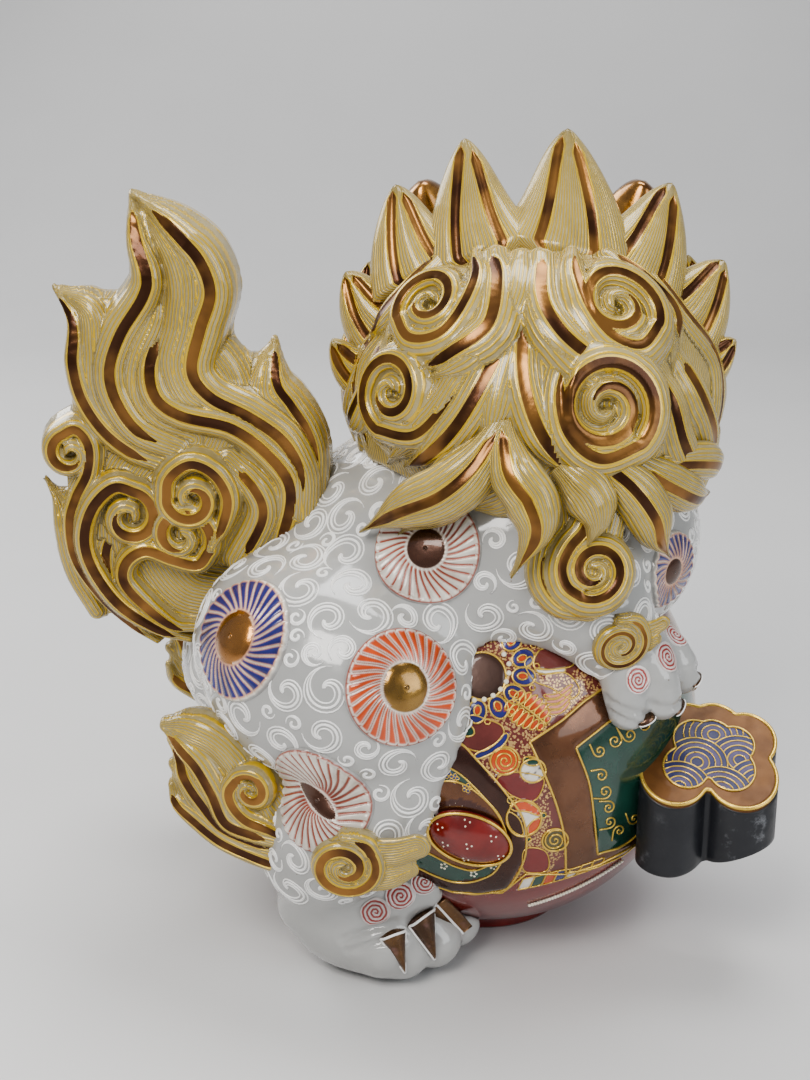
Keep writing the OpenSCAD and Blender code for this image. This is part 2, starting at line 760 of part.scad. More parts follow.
torso();
haunch_right();
haunch_left();
hind_leg_right();
hind_leg_left();
hind_paw_right();
hind_paw_left();
foreleg_right();
foreleg_left();
fore_paw_right();
fore_paw_left();
claws_hind_right();
claws_hind_left();
claws_fore_right();
claws_fore_left();
head();
muzzle();
lower_jaw();
tongue();
teeth();
eye_right();
eye_left();
brows();
ear_right();
ear_left();
beard();
mane_cap();
mane_crest();
mane_curls_upper();
mane_curls_lower();
mane_locks();
mane_nape();
mane_cheeks();
tail_plume();
tail_flame_left();
tail_flame_right();
tail_curls();
tail_sweep();
tuft_hock_right();
tuft_hock_left();
tuft_ankle_right();
tuft_ankle_left();
tuft_wrist_right();
tuft_wrist_left();
ball();
ball_foot();
ball_cabochon();
ribbon_neck();
ribbon_knot();
knot_cap();
kiku_hip_right();
kiku_thigh_right();
kiku_shank_right();
kiku_shoulder_right();
kiku_breast_right();
kiku_hip_left();
kiku_thigh_left();
kiku_shoulder_left();
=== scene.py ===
import math
import random

import bpy
import numpy as np
import openvdb
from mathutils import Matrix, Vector
from mathutils.bvhtree import BVHTree


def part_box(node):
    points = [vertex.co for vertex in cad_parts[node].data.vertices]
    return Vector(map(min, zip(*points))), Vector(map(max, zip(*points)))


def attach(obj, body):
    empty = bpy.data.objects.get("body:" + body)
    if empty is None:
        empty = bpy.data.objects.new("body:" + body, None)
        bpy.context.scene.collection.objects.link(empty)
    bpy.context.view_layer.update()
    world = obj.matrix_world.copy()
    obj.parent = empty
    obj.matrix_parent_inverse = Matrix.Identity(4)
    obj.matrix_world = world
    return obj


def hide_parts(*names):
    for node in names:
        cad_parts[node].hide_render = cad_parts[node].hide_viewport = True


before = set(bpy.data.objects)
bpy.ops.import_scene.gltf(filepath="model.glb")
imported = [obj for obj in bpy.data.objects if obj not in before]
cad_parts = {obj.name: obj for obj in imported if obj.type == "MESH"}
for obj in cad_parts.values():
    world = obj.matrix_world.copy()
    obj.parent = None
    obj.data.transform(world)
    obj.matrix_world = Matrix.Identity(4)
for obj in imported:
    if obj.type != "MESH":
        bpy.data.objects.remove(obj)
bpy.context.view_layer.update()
rng = random.Random(7)

# ---------------------------------------------------------------- the frame
# Shapes are written in units of one hundredth of the ball's radius, from the middle of the ball's
# foot, and put into the row frame by the CAD ball and foot.
ball_lo, ball_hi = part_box("ball")
foot_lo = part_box("ball_foot")[0]
UNIT = (ball_hi.x - ball_lo.x) / 200
ORIGIN = np.array([(ball_lo.x + ball_hi.x) / 2, (ball_lo.y + ball_hi.y) / 2, foot_lo.z])
BALL_R = 100.0
VIEW_TILT = 20                                   # the photo looks down by this angle
LENS_RATIO = 1.75                                # focal length over frame height
BALL = np.array([0, 0, (ball_hi.z - ORIGIN[2]) / UNIT - BALL_R])


def cad_box(node):
    lo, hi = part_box(node)
    return (np.array(lo) - ORIGIN) / UNIT, (np.array(hi) - ORIGIN) / UNIT


def arr(*v):
    return np.array(v, float)


def unit(v):
    v = np.asarray(v, float)
    return v / np.maximum(np.linalg.norm(v, axis=-1, keepdims=True), 1e-9)


def smooth(x, a, b):
    t = np.clip((x - a) / (b - a), 0, 1)
    return t * t * (3 - 2 * t)


def curve(points, k):
    """A smooth line through the points, k steps between two of them."""
    p = np.asarray(points, float)
    q = np.vstack([2 * p[0] - p[1], p, 2 * p[-1] - p[-2]])
    t = np.linspace(0, 1, k, endpoint=False)[:, None]
    out = []
    for i in range(1, len(q) - 2):
        a, b, c, d = q[i - 1:i + 3]
        out.append(0.5 * (2 * b + (c - a) * t + (2 * a - 5 * b + 4 * c - d) * t ** 2
                          + (3 * b - a - 3 * c + d) * t ** 3))
    out.append(p[-1:])
    return np.vstack(out)


def resample(p, n):
    d = np.r_[0, np.cumsum(np.linalg.norm(np.diff(p[:, :3], axis=0), axis=1))]
    s = np.linspace(0, d[-1], n)
    return np.stack([np.interp(s, d, p[:, i]) for i in range(p.shape[1])], 1)


# ---------------------------------------------------------------- meshes
def mesh_object(name, verts, faces, nodes, mats, face_mat=None, floats=None, colours=None,
                sharp=None, normals=None):
    """A mesh in the row frame, with its point values, that stands for the named CAD nodes."""
    me = bpy.data.meshes.new(name)
    v = ORIGIN + np.asarray(verts, float) * UNIT
    me.from_pydata(v.tolist(), [], [list(map(int, f)) for f in faces])
    me.validate(clean_customdata=False)
    for m in mats:
        me.materials.append(m)
    if face_mat is not None:
        me.polygons.foreach_set("material_index", np.asarray(face_mat, np.int32))
    for key, vals in (floats or {}).items():
        a = me.attributes.new(key, "FLOAT", "POINT")
        a.data.foreach_set("value", np.asarray(vals, np.float32))
    for key, vals in (colours or {}).items():
        a = me.attributes.new(key, "FLOAT_COLOR", "POINT")
        c = np.ones((len(vals), 4), np.float32)
        c[:, :3] = vals
        a.data.foreach_set("color", c.ravel())
    me.polygons.foreach_set("use_smooth", np.ones(len(me.polygons), bool))
    if sharp:
        me.set_sharp_from_angle(angle=math.radians(sharp))
    if normals is not None:
        me.normals_split_custom_set(np.asarray(normals, float).tolist())
    ob = bpy.data.objects.new(name, me)
    bpy.context.scene.collection.objects.link(ob)
    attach(ob, "root")
    if nodes:
        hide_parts(*nodes)
    return ob


class Bag:
    """Several closed pieces of geometry that go into one object."""

    def __init__(self):
        self.v, self.f, self.m, self.at, self.n = [], [], [], {}, 0

    def add(self, verts, faces, mat=0, **values):
        """values: point values by name, one number or one per point."""
        for k in values:
            self.at.setdefault(k, [np.zeros(len(a)) for a in self.v])
        self.v.append(np.asarray(verts, float))
        for k, a in self.at.items():
            a.append(np.zeros(len(verts)) + values.get(k, 0.0))
        self.f += [[int(i) + self.n for i in q] for q in faces]
        self.m += [mat] * len(faces)
        self.n += len(verts)

    def make(self, name, nodes, slot, mats):
        mesh_object(name, np.vstack(self.v), self.f, nodes, mats, self.m,
                    floats={k: np.concatenate(a) for k, a in self.at.items()})


def grid_faces(n, m):
    """Quads of n closed rings of m points."""
    i, j = np.meshgrid(np.arange(n - 1), np.arange(m), indexing="ij")
    k = (j + 1) % m
    return np.stack([i * m + j, i * m + k, (i + 1) * m + k, (i + 1) * m + j], -1).reshape(-1, 4)


def capped(n, m):
    """Faces of n closed rings of m points, ended by two points that come after the rings."""
    e = n * m
    return (grid_faces(n, m).tolist() + [[e, (j + 1) % m, j] for j in range(m)]
            + [[e + 1, e - m + j, e - m + (j + 1) % m] for j in range(m)])


def flipped(faces):
    return [q[::-1] for q in faces]


def circle(n):
    return np.arange(n) * 2 * math.pi / n


def ellipse(e1, e2, r1, r2, t):
    """Points r1 cos t along e1 and r2 sin t along e2."""
    return r1 * np.cos(t)[:, None] * e1 + r2 * np.sin(t)[:, None] * e2


def add_tube(bag, path, radius, mat=0, side=6, flat=1.0, up=None):
    """A closed tube along a path. flat squeezes it along up."""
    p = np.asarray(path, float)
    t = unit(np.gradient(p, axis=0))
    if up is None:
        up = np.cross(t, unit(t[::-1] + arr(0.3, 0.5, 0.8)))
    s = unit(np.cross(t, up))
    u = np.cross(s, t)
    r = (np.zeros(len(p)) + radius)[:, None]
    a = circle(side)
    ring = (p[:, None] + s[:, None] * (r * np.cos(a))[..., None]
            + u[:, None] * (r * flat * np.sin(a))[..., None])
    bag.add(np.vstack([ring.reshape(-1, 3), p[:1], p[-1:]]), capped(len(p), side), mat)


# ---------------------------------------------------------------- materials
class Net:
    """One material: short names for the shader nodes used here."""

    def __init__(self, name):
        self.m = bpy.data.materials.new(name)
        self.m.use_nodes = True
        self.t = self.m.node_tree
        self.t.nodes.clear()
        out = self.t.nodes.new("ShaderNodeOutputMaterial")
        self.b = self.t.nodes.new("ShaderNodeBsdfPrincipled")
        self.t.links.new(self.b.outputs[0], out.inputs[0])

    def put(self, socket, value):
        if isinstance(value, bpy.types.NodeSocket):
            self.t.links.new(value, socket)
        elif isinstance(value, tuple):
            socket.default_value = (*value, 1)
        else:
            socket.default_value = value

    def node(self, kind, inputs, out=0, **settings):
        n = self.t.nodes.new("ShaderNode" + kind)
        for key, value in settings.items():
            setattr(n, key, value)
        for key, value in inputs.items():
            self.put(n.inputs[key], value)
        return n.outputs[out]

    def attr(self, name, out="Fac"):
        return self.node("Attribute", {}, out, attribute_name=name)

    def math(self, op, a, b=0.0):
        return self.node("Math", {0: a, 1: b}, operation=op)

    def mix(self, f, a, b, how="MIX"):
        return self.node("Mix", {0: f, 6: a, 7: b}, 2, data_type="RGBA", blend_type=how)

    def lerp(self, f, a, b):
        return self.node("Mix", {0: f, 2: a, 3: b})

    def step(self, x, a, b, lo=0.0, hi=1.0):
        return self.node("MapRange", {0: x, 1: a, 2: b, 3: lo, 4: hi}, interpolation_type="SMOOTHSTEP")

    def texture(self, kind, scale, **more):
        """A texture with scale waves across the ball's radius."""
        place = self.node("TexCoord", {}, "Object")
        return self.node(kind, {"Vector": place, "Scale": scale / (100 * UNIT), **more})

    def noise(self, scale, detail=4.0, rough=0.55):
        return self.texture("TexNoise", scale, Detail=detail, Roughness=rough)

    def bump(self, height, distance, strength=1.0):
        self.put(self.b.inputs["Normal"], self.node("Bump", {"Height": height, "Distance": distance * UNIT,
                                                             "Strength": strength}))

    def set(self, colour, rough, metal, coat=0.0, coat_rough=0.04):
        for key, value in (("Base Color", colour), ("Roughness", rough), ("Metallic", metal),
                           ("Coat Weight", coat), ("Coat Roughness", coat_rough)):
            self.put(self.b.inputs[key], value)
        return self.m


WHITE = (0.40, 0.398, 0.386)
LINE_WHITE = (0.93, 0.92, 0.90)
GOLD = (0.80, 0.58, 0.14)
HAIR = (0.375, 0.306, 0.146)


def porcelain():
    n = Net("grey_white_porcelain")
    c = n.mix(n.step(n.noise(2.2, 3.0), 0.35, 0.7), WHITE, tuple(0.93 * v for v in WHITE))
    specks = n.step(n.texture("TexVoronoi", 13), 0.045, 0.065, 1.0, 0.0)
    some = n.step(n.noise(7.0, 2.0), 0.55, 0.6)
    c = n.mix(n.math("MULTIPLY", n.math("MULTIPLY", specks, some), 0.75), c, (0.16, 0.12, 0.08))
    n.bump(n.noise(9.0, 2.0), 0.5, 0.35)
    return n.set(c, n.step(n.noise(5.0, 3.0), 0.3, 0.7, 0.10, 0.17), 0.0, 0.6)


def raised_white():
    n = Net("raised_white_enamel")
    c = n.mix(n.noise(30.0), LINE_WHITE, tuple(0.88 * v for v in LINE_WHITE))
    n.bump(n.noise(60.0, 2.0), 0.12, 0.4)
    return n.set(c, 0.28, 0.0, 0.3, 0.1)


def gold_line():
    n = Net("trailed_gold_line")
    c = n.mix(n.noise(40.0), GOLD, (0.62, 0.40, 0.08))
    n.bump(n.noise(70.0, 2.0), 0.15, 0.5)
    return n.set(c, n.step(n.noise(25.0), 0.3, 0.7, 0.24, 0.38), 0.75, 0.3, 0.1)


def lustre(name, dark=0.0):
    """Copper-gold lustre: metal with warm and dark clouds."""
    n = Net(name)
    c = n.mix(n.step(n.noise(6.0, 5.0, 0.62), 0.36, 0.66), (0.15 - 0.07 * dark, 0.062 - 0.02 * dark, 0.022),
              (0.44 - 0.26 * dark, 0.225 - 0.13 * dark, 0.06 - 0.02 * dark))
    c = n.mix(n.step(n.noise(15.0, 3.0), 0.55, 0.8, 0.0, 0.35), c, (0.42, 0.22, 0.24))
    n.bump(n.noise(16.0, 3.0), 0.25, 0.35)
    return n.set(c, n.step(n.noise(22.0), 0.3, 0.75, 0.17, 0.34), 0.9, 0.5)


def hair_glaze():
    """Beige glaze with trailed gold lines along the lock, and recessed copper stripes with painted golden
    highlights.
    """
    n = Net("gilt_hair_glaze")
    wob = n.math("MULTIPLY", n.math("SUBTRACT", n.noise(9.0, 2.0), 0.5), 0.55)
    fr = n.math("FRACT", n.math("ADD", n.attr("ln"), wob))
    ridge = n.math("ABSOLUTE", n.math("SUBTRACT", fr, 0.5))
    line = n.step(ridge, 0.12, 0.23, 1.0, 0.0)
    stripe = n.attr("stripe")
    in_stripe = n.step(stripe, 0.86, 1.0, 1.0, 0.0)
    edge = n.math("MULTIPLY", n.step(stripe, 0.92, 1.02), n.step(stripe, 1.22, 1.42, 1.0, 0.0))
    base = n.mix(n.step(n.noise(3.4, 4.0), 0.35, 0.7), HAIR, tuple(0.72 * v for v in HAIR))
    base = n.mix(n.step(n.noise(24.0, 3.0), 0.45, 0.8, 0.0, 0.4), base, (0.42, 0.385, 0.27))
    gold = n.mix(n.noise(18.0), (0.74, 0.52, 0.05), (0.52, 0.33, 0.035))
    line = n.math("MAXIMUM", line, edge)
    c = n.mix(line, base, gold)
    # copper in the recessed stripes: the dark brown is the lustre's own colour, and the bright golden patches
    # placed by noise are painted highlights
    copper_and_painted_highlight = n.mix(n.step(n.noise(3.6, 3.0, 0.5), 0.38, 0.66), (0.066, 0.026, 0.011), (0.29, 0.142, 0.042))
    c = n.mix(in_stripe, c, copper_and_painted_highlight)
    metal = n.lerp(in_stripe, n.math("MULTIPLY", line, 0.35), 0.78)
    rough = n.lerp(in_stripe, n.lerp(line, n.step(n.noise(12.0), 0.3, 0.7, 0.16, 0.26), 0.30), 0.28)
    h = n.math("MULTIPLY", n.step(ridge, 0.05, 0.30, 1.0, 0.0), n.math("SUBTRACT", 1.0, in_stripe))
    h = n.math("ADD", h, n.math("MULTIPLY", n.noise(35.0, 3.0), 0.25))
    n.bump(h, 0.34, 0.9)
    return n.set(c, rough, metal, n.lerp(in_stripe, 0.55, 0.12), 0.05)


M_BODY = porcelain()
M_SCROLL = raised_white()
M_GOLD = gold_line()
M_COPPER = lustre("copper_lustre")
M_DARK = lustre("dark_copper_lustre", 1.0)
M_HAIR = hair_glaze()


def enamel(name, colour, second):
    n = Net(name)
    c = n.mix(n.step(n.noise(8.0, 4.0), 0.35, 0.7), colour, second)
    n.bump(n.noise(26.0, 3.0), 0.3, 0.4)
    return n.set(c, n.step(n.noise(14.0), 0.3, 0.7, 0.16, 0.26), 0.0, 0.5)


M_MAROON = enamel("maroon_enamel", (0.20, 0.018, 0.014), (0.13, 0.012, 0.010))
M_IVORY = enamel("ivory_enamel", (0.80, 0.76, 0.64), (0.72, 0.66, 0.52))
M_RED = enamel("iron_red_enamel", (0.48, 0.05, 0.03), (0.34, 0.03, 0.02))


# ---------------------------------------------------------------- body field
class Field:
    """Distance field on a grid. Limbs blend where they meet, and every cell knows its part."""

    def __init__(self, lo, hi, step):
        self.lo, self.h = np.asarray(lo, float), step
        self.n = np.ceil((np.asarray(hi) - self.lo) / step).astype(int) + 1
        self.ax = [self.lo[i] + step * np.arange(self.n[i]) for i in range(3)]
        self.a = np.full(self.n, 50.0, np.float32)
        self.best = np.full(self.n, 50.0, np.float32)
        self.tag = np.zeros(self.n, np.int16)

    def window(self, lo, hi):
        """The cells from lo to hi."""
        return tuple(slice(max(0, int((lo[i] - self.lo[i]) / self.h)),
                           min(self.n[i], int((hi[i] - self.lo[i]) / self.h) + 2)) for i in range(3))

    def points(self, w):
        return np.meshgrid(*[self.ax[i][w[i]] for i in range(3)], indexing="ij")

    @staticmethod
    def oval_distance(x, y, z, c, radii, axes):
        x, y, z = x - c[0], y - c[1], z - c[2]
        q = (x, y, z) if axes is None else [x * e[0] + y * e[1] + z * e[2] for e in axes]
        k0 = np.sqrt(sum((v / r) ** 2 for v, r in zip(q, radii)))
        k1 = np.sqrt(sum((v / (r * r)) ** 2 for v, r in zip(q, radii)))
        return (k0 * (k0 - 1) / np.maximum(k1, 1e-6)).astype(np.float32)

    def merge(self, w, d, k, tag):
        a = self.a[w]
        h = np.maximum(k - np.abs(a - d), 0) / k if k else 0
        self.a[w] = np.minimum(a, d) - h * h * k / 4
        self.tag[w] = np.where(d < self.best[w], tag, self.tag[w])
        self.best[w] = np.minimum(self.best[w], d)

    def limb(self, stations, k, tag):
        """Ovals along stations of [x, y, z, half width, half height]."""
        p = curve(stations, 8)
        length = np.linalg.norm(np.diff(p[:, :3], axis=0), axis=1).sum()
        p = resample(p, max(4, int(length / 3.0)))
        lo = (p[:, :3] - p[:, 3:].max(1)[:, None]).min(0) - k - 4
        hi = (p[:, :3] + p[:, 3:].max(1)[:, None]).max(0) + k + 4
        w = self.window(lo, hi)
        d = np.full([s.stop - s.start for s in w], 50.0, np.float32)
        t = unit(np.gradient(p[:, :3], axis=0))
        for q, e in zip(p, t):
            s = unit(np.cross(e, (0, 0, 1)))
            u = np.cross(s, e)
            r = max(q[3], q[4]) + k + 4
            v = self.window(q[:3] - r, q[:3] + r)
            v = tuple(slice(max(a.start, b.start), min(a.stop, b.stop)) for a, b in zip(v, w))
            loc = tuple(slice(a.start - b.start, a.stop - b.start) for a, b in zip(v, w))
            if any(a.stop <= a.start for a in v):
                continue
            x, y, z = self.points(v)
            o = self.oval_distance(x, y, z, q[:3], (q[3], q[4], 0.9 * min(q[3], q[4])), (s, u, e))
            d[loc] = np.minimum(d[loc], o)
        self.merge(w, d, k, tag)

    def oval_at(self, c, radii, k):
        r = max(radii) + k + 4
        w = self.window(np.asarray(c, float) - r, np.asarray(c, float) + r)
        return w, self.oval_distance(*self.points(w), c, radii, None)

    def oval(self, c, radii, k, tag):
        self.merge(*self.oval_at(c, radii, k), k, tag)

    def carve(self, c, radii, k):
        w, d = self.oval_at(c, radii, k)
        a = self.a[w]
        h = np.maximum(k - np.abs(a + d), 0) / k
        self.a[w] = np.maximum(a, -d) + h * h * k / 4

    def mesh(self):
        g = openvdb.FloatGrid(20.0)
        g.copyFromArray(np.ascontiguousarray(np.clip(self.a, -20, 20)))
        pts, quads = g.convertToQuads(isovalue=0.0)
        pts = np.asarray(pts, float) * self.h + self.lo
        quads = np.asarray(quads, int)
        v = pts[quads]
        area = np.cross(v[:, 2] - v[:, 0], v[:, 3] - v[:, 1])
        if (area * v.mean(1)).sum() < 0:
            quads = quads[:, ::-1]
        return pts, quads

    def tags_at(self, p):
        i = np.clip(np.round((p - self.lo) / self.h).astype(int), 0, self.n - 1)
        return self.tag[i[:, 0], i[:, 1], i[:, 2]]


def vertex_normals(v, q):
    fn = np.cross(v[q[:, 2]] - v[q[:, 0]], v[q[:, 3]] - v[q[:, 1]])
    n = np.zeros_like(v)
    for i in range(4):
        np.add.at(n, q[:, i], fn)
    return unit(n)


def relax(v, q, rounds):
    """Laplacian smoothing that keeps the volume nearly the same."""
    e = np.vstack([q[:, [0, 1]], q[:, [1, 2]], q[:, [2, 3]], q[:, [3, 0]]])
    cnt = np.zeros(len(v))
    np.add.at(cnt, e[:, 0], 1)
    np.add.at(cnt, e[:, 1], 1)
    for i in range(rounds * 2):
        s = np.zeros_like(v)
        np.add.at(s, e[:, 0], v[e[:, 1]])
        np.add.at(s, e[:, 1], v[e[:, 0]])
        f = 0.5 if i % 2 == 0 else -0.51
        v = v + f * (s / np.maximum(cnt, 1)[:, None] - v)
    return v


def blur(a):
    """Mean of three cells each way. The second axis is closed on itself."""
    a = (a + np.roll(a, 1, 1) + np.roll(a, -1, 1)) / 3
    a[1:-1] = (a[:-2] + a[1:-1] + a[2:]) / 3
    return a


def biggest_part(v, q):
    """Drops inner shells and crumbs."""
    parent = np.arange(len(v))
    e = np.vstack([q[:, [0, 1]], q[:, [1, 2]], q[:, [2, 3]]])
    for _ in range(200):
        m = np.minimum(parent[e[:, 0]], parent[e[:, 1]])
        new = parent.copy()
        np.minimum.at(new, e[:, 0], m)
        np.minimum.at(new, e[:, 1], m)
        new = new[new]
        if (new == parent).all():
            break
        parent = new
    ids, count = np.unique(parent, return_counts=True)
    keep = parent == ids[count.argmax()]
    remap = np.cumsum(keep) - 1
    return v[keep], remap[q[keep[q[:, 0]]]]


# the head and mane
mane_lo, mane_hi = cad_box("mane_cap")
MANE_R = (mane_hi[0] - mane_lo[0]) / 2 * arr(1, 0.952, 0.952)
MANE = arr((mane_lo[0] + mane_hi[0]) / 2, mane_lo[1] + MANE_R[1], mane_hi[2] - MANE_R[2])
head_lo, head_hi = cad_box("head")
HX, HY, HZ = (head_lo[0] + head_hi[0]) / 2, (head_lo[1] + head_hi[1]) / 2, head_hi[2] - 62

PARTS = ["torso", "haunch_right", "haunch_left", "hind_leg_right", "hind_leg_left",
         "hind_paw_right", "hind_paw_left", "foreleg_right", "foreleg_left",
         "fore_paw_right", "fore_paw_left", "head", "muzzle", "lower_jaw"]
T = {n: i for i, n in enumerate(PARTS)}


def flip(stations, s, dx=0.0, dy=0.0):
    """Stations on the near side (s = -1) or the far side (s = 1) of the lion."""
    return [[q[0] + (dx if s > 0 else 0), s * (abs(q[1]) + (dy if s > 0 else 0)) * (1 if q[1] < 0 else -1)]
            + list(q[2:]) for q in stations]


FAR_BACK = (cad_box("kiku_hip_left")[0] - cad_box("kiku_hip_right")[0])[0]
FAR_OUT = 8.0


def build_body():
    g = Field((-166, -134, -3), (112, 142, 322), 1.7)
    g.limb([[-112, 0, 121, 40, 33], [-90, 0, 135, 58, 48], [-50, 0, 161, 75, 60],
            [-12, 1, 184, 82, 63], [24, 2, 196, 83, 63], [54, 2, 186, 62, 46]], 0, T["torso"])
    g.limb([[24, 0, 208, 52, 50], [HX, HY - 14, HZ - 14, 52, 50]], 12, T["torso"])
    g.oval((52, 0, 182), (36, 44, 34), 16, T["torso"])
    for s, side in ((-1, "right"), (1, "left")):
        def put(st, name, k, dx=0.0, dy=0.0):
            g.limb(flip(st, s, dx, dy), k, T[f"{name}_{side}"])
        put([[-97, -43, 152, 37, 40], [-77, -56, 145, 49, 50], [-54, -66, 138, 49, 50],
             [-36, -72, 118, 32, 35]], "haunch", 13, FAR_BACK)
        put([[-42, -79, 98, 27, 27], [-62, -80, 80, 32, 32], [-78, -72, 58, 24, 28]], "hind_leg", 10, FAR_BACK)
        put([[-76, -66, 38, 20, 25], [-62, -68, 29, 23, 29], [-46, -69, 20, 29, 22]],
            "hind_paw", 9, FAR_BACK, FAR_OUT)
        put([[28, -46, 188, 38, 34], [41, -62, 175, 26, 28], [51, -64, 163, 19, 20]], "foreleg", 12)
        put([[51, -64, 160, 17, 19], [61, -64, 153, 19, 17], [68, -62, 146, 18, 14]], "fore_paw", 7)
        # toes, each with a knuckle and a pad
        for a, b, r in (((-56, -73, 20), (-38, -81, 13.5), 13.0), ((-46, -66, 22), (-24, -73, 14.5), 13.0),
                        ((-37, -55, 23), (-14, -60, 16), 12.0)):
            m = [0.45 * a[i] + 0.55 * b[i] for i in range(3)]
            m[2] += 3
            g.limb(flip([[*a, r * 0.8, r], [*m, r * 0.98, r * 1.12], [*b, r, r * 0.98]], s, FAR_BACK, FAR_OUT),
                   2.5, T[f"hind_paw_{side}"])
        for a, b, r in (((50, -72, 158), (58, -79, 132), 9.8), ((62, -68, 157), (73, -75, 135), 9.8),
                        ((71, -56, 158), (83, -60, 140), 9.2)):
            m = [0.5 * (a[i] + b[i]) for i in range(3)]
            m[0] += 2
            m[1] -= 3
            g.limb(flip([[*a, r * 0.8, r * 0.9], [*m, r, r * 1.05], [*b, r * 0.95, r * 0.9]], s),
                   2.0, T[f"fore_paw_{side}"])
        # the paw rises towards the ball
        g.limb(flip([[-60, -76, 38, 14, 13], [-45, -79, 41, 13, 12], [-31, -77, 47, 12.5, 12]], s, FAR_BACK,
                    FAR_OUT), 5, T[f"hind_paw_{side}"])
    # skull, brows, cheeks, muzzle and jaws
    g.oval((HX, HY, HZ), (62, 63, 61), 12, T["head"])
    g.oval((HX, HY + 44, HZ + 18), (44, 22, 22), 12, T["head"])
    for s in (-1, 1):
        g.oval((HX + s * 40, HY + 38, HZ - 18), (22, 24, 24), 10, T["head"])
        g.oval((HX + s * 24, HY + 52, HZ + 25), (20, 13, 8), 6, T["head"])
        g.oval((HX + s * 26, HY + 62, HZ - 24), (19, 20, 16), 7, T["muzzle"])
        g.oval((HX + s * 20, HY + 81, HZ - 26), (13, 11, 13), 5, T["muzzle"])
    g.limb([[HX, HY + 46, HZ - 16, 34, 24], [HX, HY + 74, HZ - 18, 30, 20]], 8, T["muzzle"])
    # nose: bridge, tip and wings
    g.limb([[HX, HY + 58, HZ + 14, 10, 9], [HX, HY + 76, HZ - 2, 13, 11], [HX, HY + 90, HZ - 8, 13, 9]],
           6, T["muzzle"])
    for s in (-1, 1):
        g.oval((HX + s * 13, HY + 89, HZ - 9), (8.5, 9, 8), 3, T["muzzle"])
    g.limb([[HX, HY + 30, HZ - 56, 32, 14], [HX, HY + 56, HZ - 60, 28, 12],
            [HX, HY + 72, HZ - 58, 19, 10]], 9, T["lower_jaw"])
    # the open mouth, eye sockets and nostrils
    g.carve((HX, HY + 74, HZ - 44), (26, 34, 8.5), 4)
    for s in (-1, 1):
        g.carve((HX + s * 23, HY + 67, HZ + 9), (12.5, 11, 10.5), 5)
        g.carve((HX + s * 13, HY + 98, HZ - 12), (4.2, 5.5, 4.0), 2)
    # the ball presses into the belly, and the paws are flat on the table
    x, y, z = np.meshgrid(*g.ax, indexing="ij", sparse=True)
    ball = np.sqrt((x - BALL[0]) ** 2 + (y - BALL[1]) ** 2 + (z - BALL[2]) ** 2) - (BALL_R - 0.6)
    g.a = np.maximum(g.a, -ball.astype(np.float32))
    g.a = np.maximum(g.a, (0.3 - z).astype(np.float32) + np.zeros_like(g.a))
    return g


body = build_body()
BV, BQ = biggest_part(*body.mesh())
BV = relax(BV, BQ, 3)
BN = vertex_normals(BV, BQ)
skin = BVHTree.FromPolygons(BV.tolist(), BQ.tolist())


def on_skin(p):
    """Nearest point of the skin and the outward direction there."""
    loc, _, face, _ = skin.find_nearest(Vector(p))
    n = BN[BQ[face]].mean(0)
    return np.array(loc), n / np.linalg.norm(n)


def crease(points, depth, width):
    """Presses a fold into the skin under a path, and swells its banks a little."""
    path = resample(curve(points, 8), 36)
    path = np.array([on_skin(q)[0] for q in path])
    fade = np.sin(np.linspace(0.12, 1, 36) * math.pi * 0.94) ** 0.6
    near = np.flatnonzero(np.linalg.norm(BV - path.mean(0), axis=1) < 40)
    d = np.linalg.norm(BV[near][:, None] - path[None], axis=2)
    i = d.argmin(1)
    d = d.min(1) / width
    BV[near] -= BN[near] * (fade[i] * (depth * np.exp(-d ** 2) - 0.35 * depth * np.exp(-(d - 2.2) ** 2)))[:, None]


for side_sign in (-1, 1):
    for pts in ([[-66, -92, 26], [-53, -95, 33.5], [-41, -93, 36]], [[-64, -93, 21], [-51, -97, 28],
                                                                     [-37, -96, 29]]):
        crease(flip(pts, side_sign, FAR_BACK, FAR_OUT), 1.7, 1.5)
    for pts in ([[46, -84, 141], [57, -88, 137], [67, -83, 132]], [[49, -84, 136], [57, -87, 132.5],
                                                                   [64, -84, 129]],
                [[66, -82, 139], [76, -80, 136], [83, -72, 139]], [[86, -64, 146], [91, -60, 143], [91, -54, 145]]):
        crease(flip(pts, side_sign), 1.3, 1.3)
BN = vertex_normals(BV, BQ)
skin = BVHTree.FromPolygons(BV.tolist(), BQ.tolist())


def shell_piece(name, node, faces, thick, v, n, mats, floats):
    """A closed shell of some faces of a surface, with the whole surface's normals so that no seam shows."""
    used = np.unique(faces)
    remap = np.full(len(v), -1)
    remap[used] = np.arange(len(used))
    f = remap[faces]
    outer, nrm = v[used], n[used]
    m = len(used)
    inner = outer - nrm * thick
    e = np.vstack([f[:, [0, 1]], f[:, [1, 2]], f[:, [2, 3]], f[:, [3, 0]]])
    have = set(map(tuple, e.tolist()))
    rim = np.array([(a, b) for a, b in have if (b, a) not in have], int).reshape(-1, 2)
    quads = [f, f[:, ::-1] + m]
    if len(rim):
        quads.append(np.stack([rim[:, 1], rim[:, 0], rim[:, 0] + m, rim[:, 1] + m], 1))
    q = np.vstack(quads)
    nn = np.vstack([nrm, -nrm])
    floats = {k: np.r_[a[used], a[used]] for k, a in floats.items()}
    mesh_object(name, np.vstack([outer, inner]), q, [node], mats, floats=floats, normals=nn[q].reshape(-1, 3))


centres = BV[BQ].mean(1)
face_tag = body.tags_at(centres)
for node in PARTS:
    faces = BQ[face_tag == T[node]]
    if len(faces):
        shell_piece(node + "_skin", node, faces, 4.0, BV, BN, [M_BODY], {})


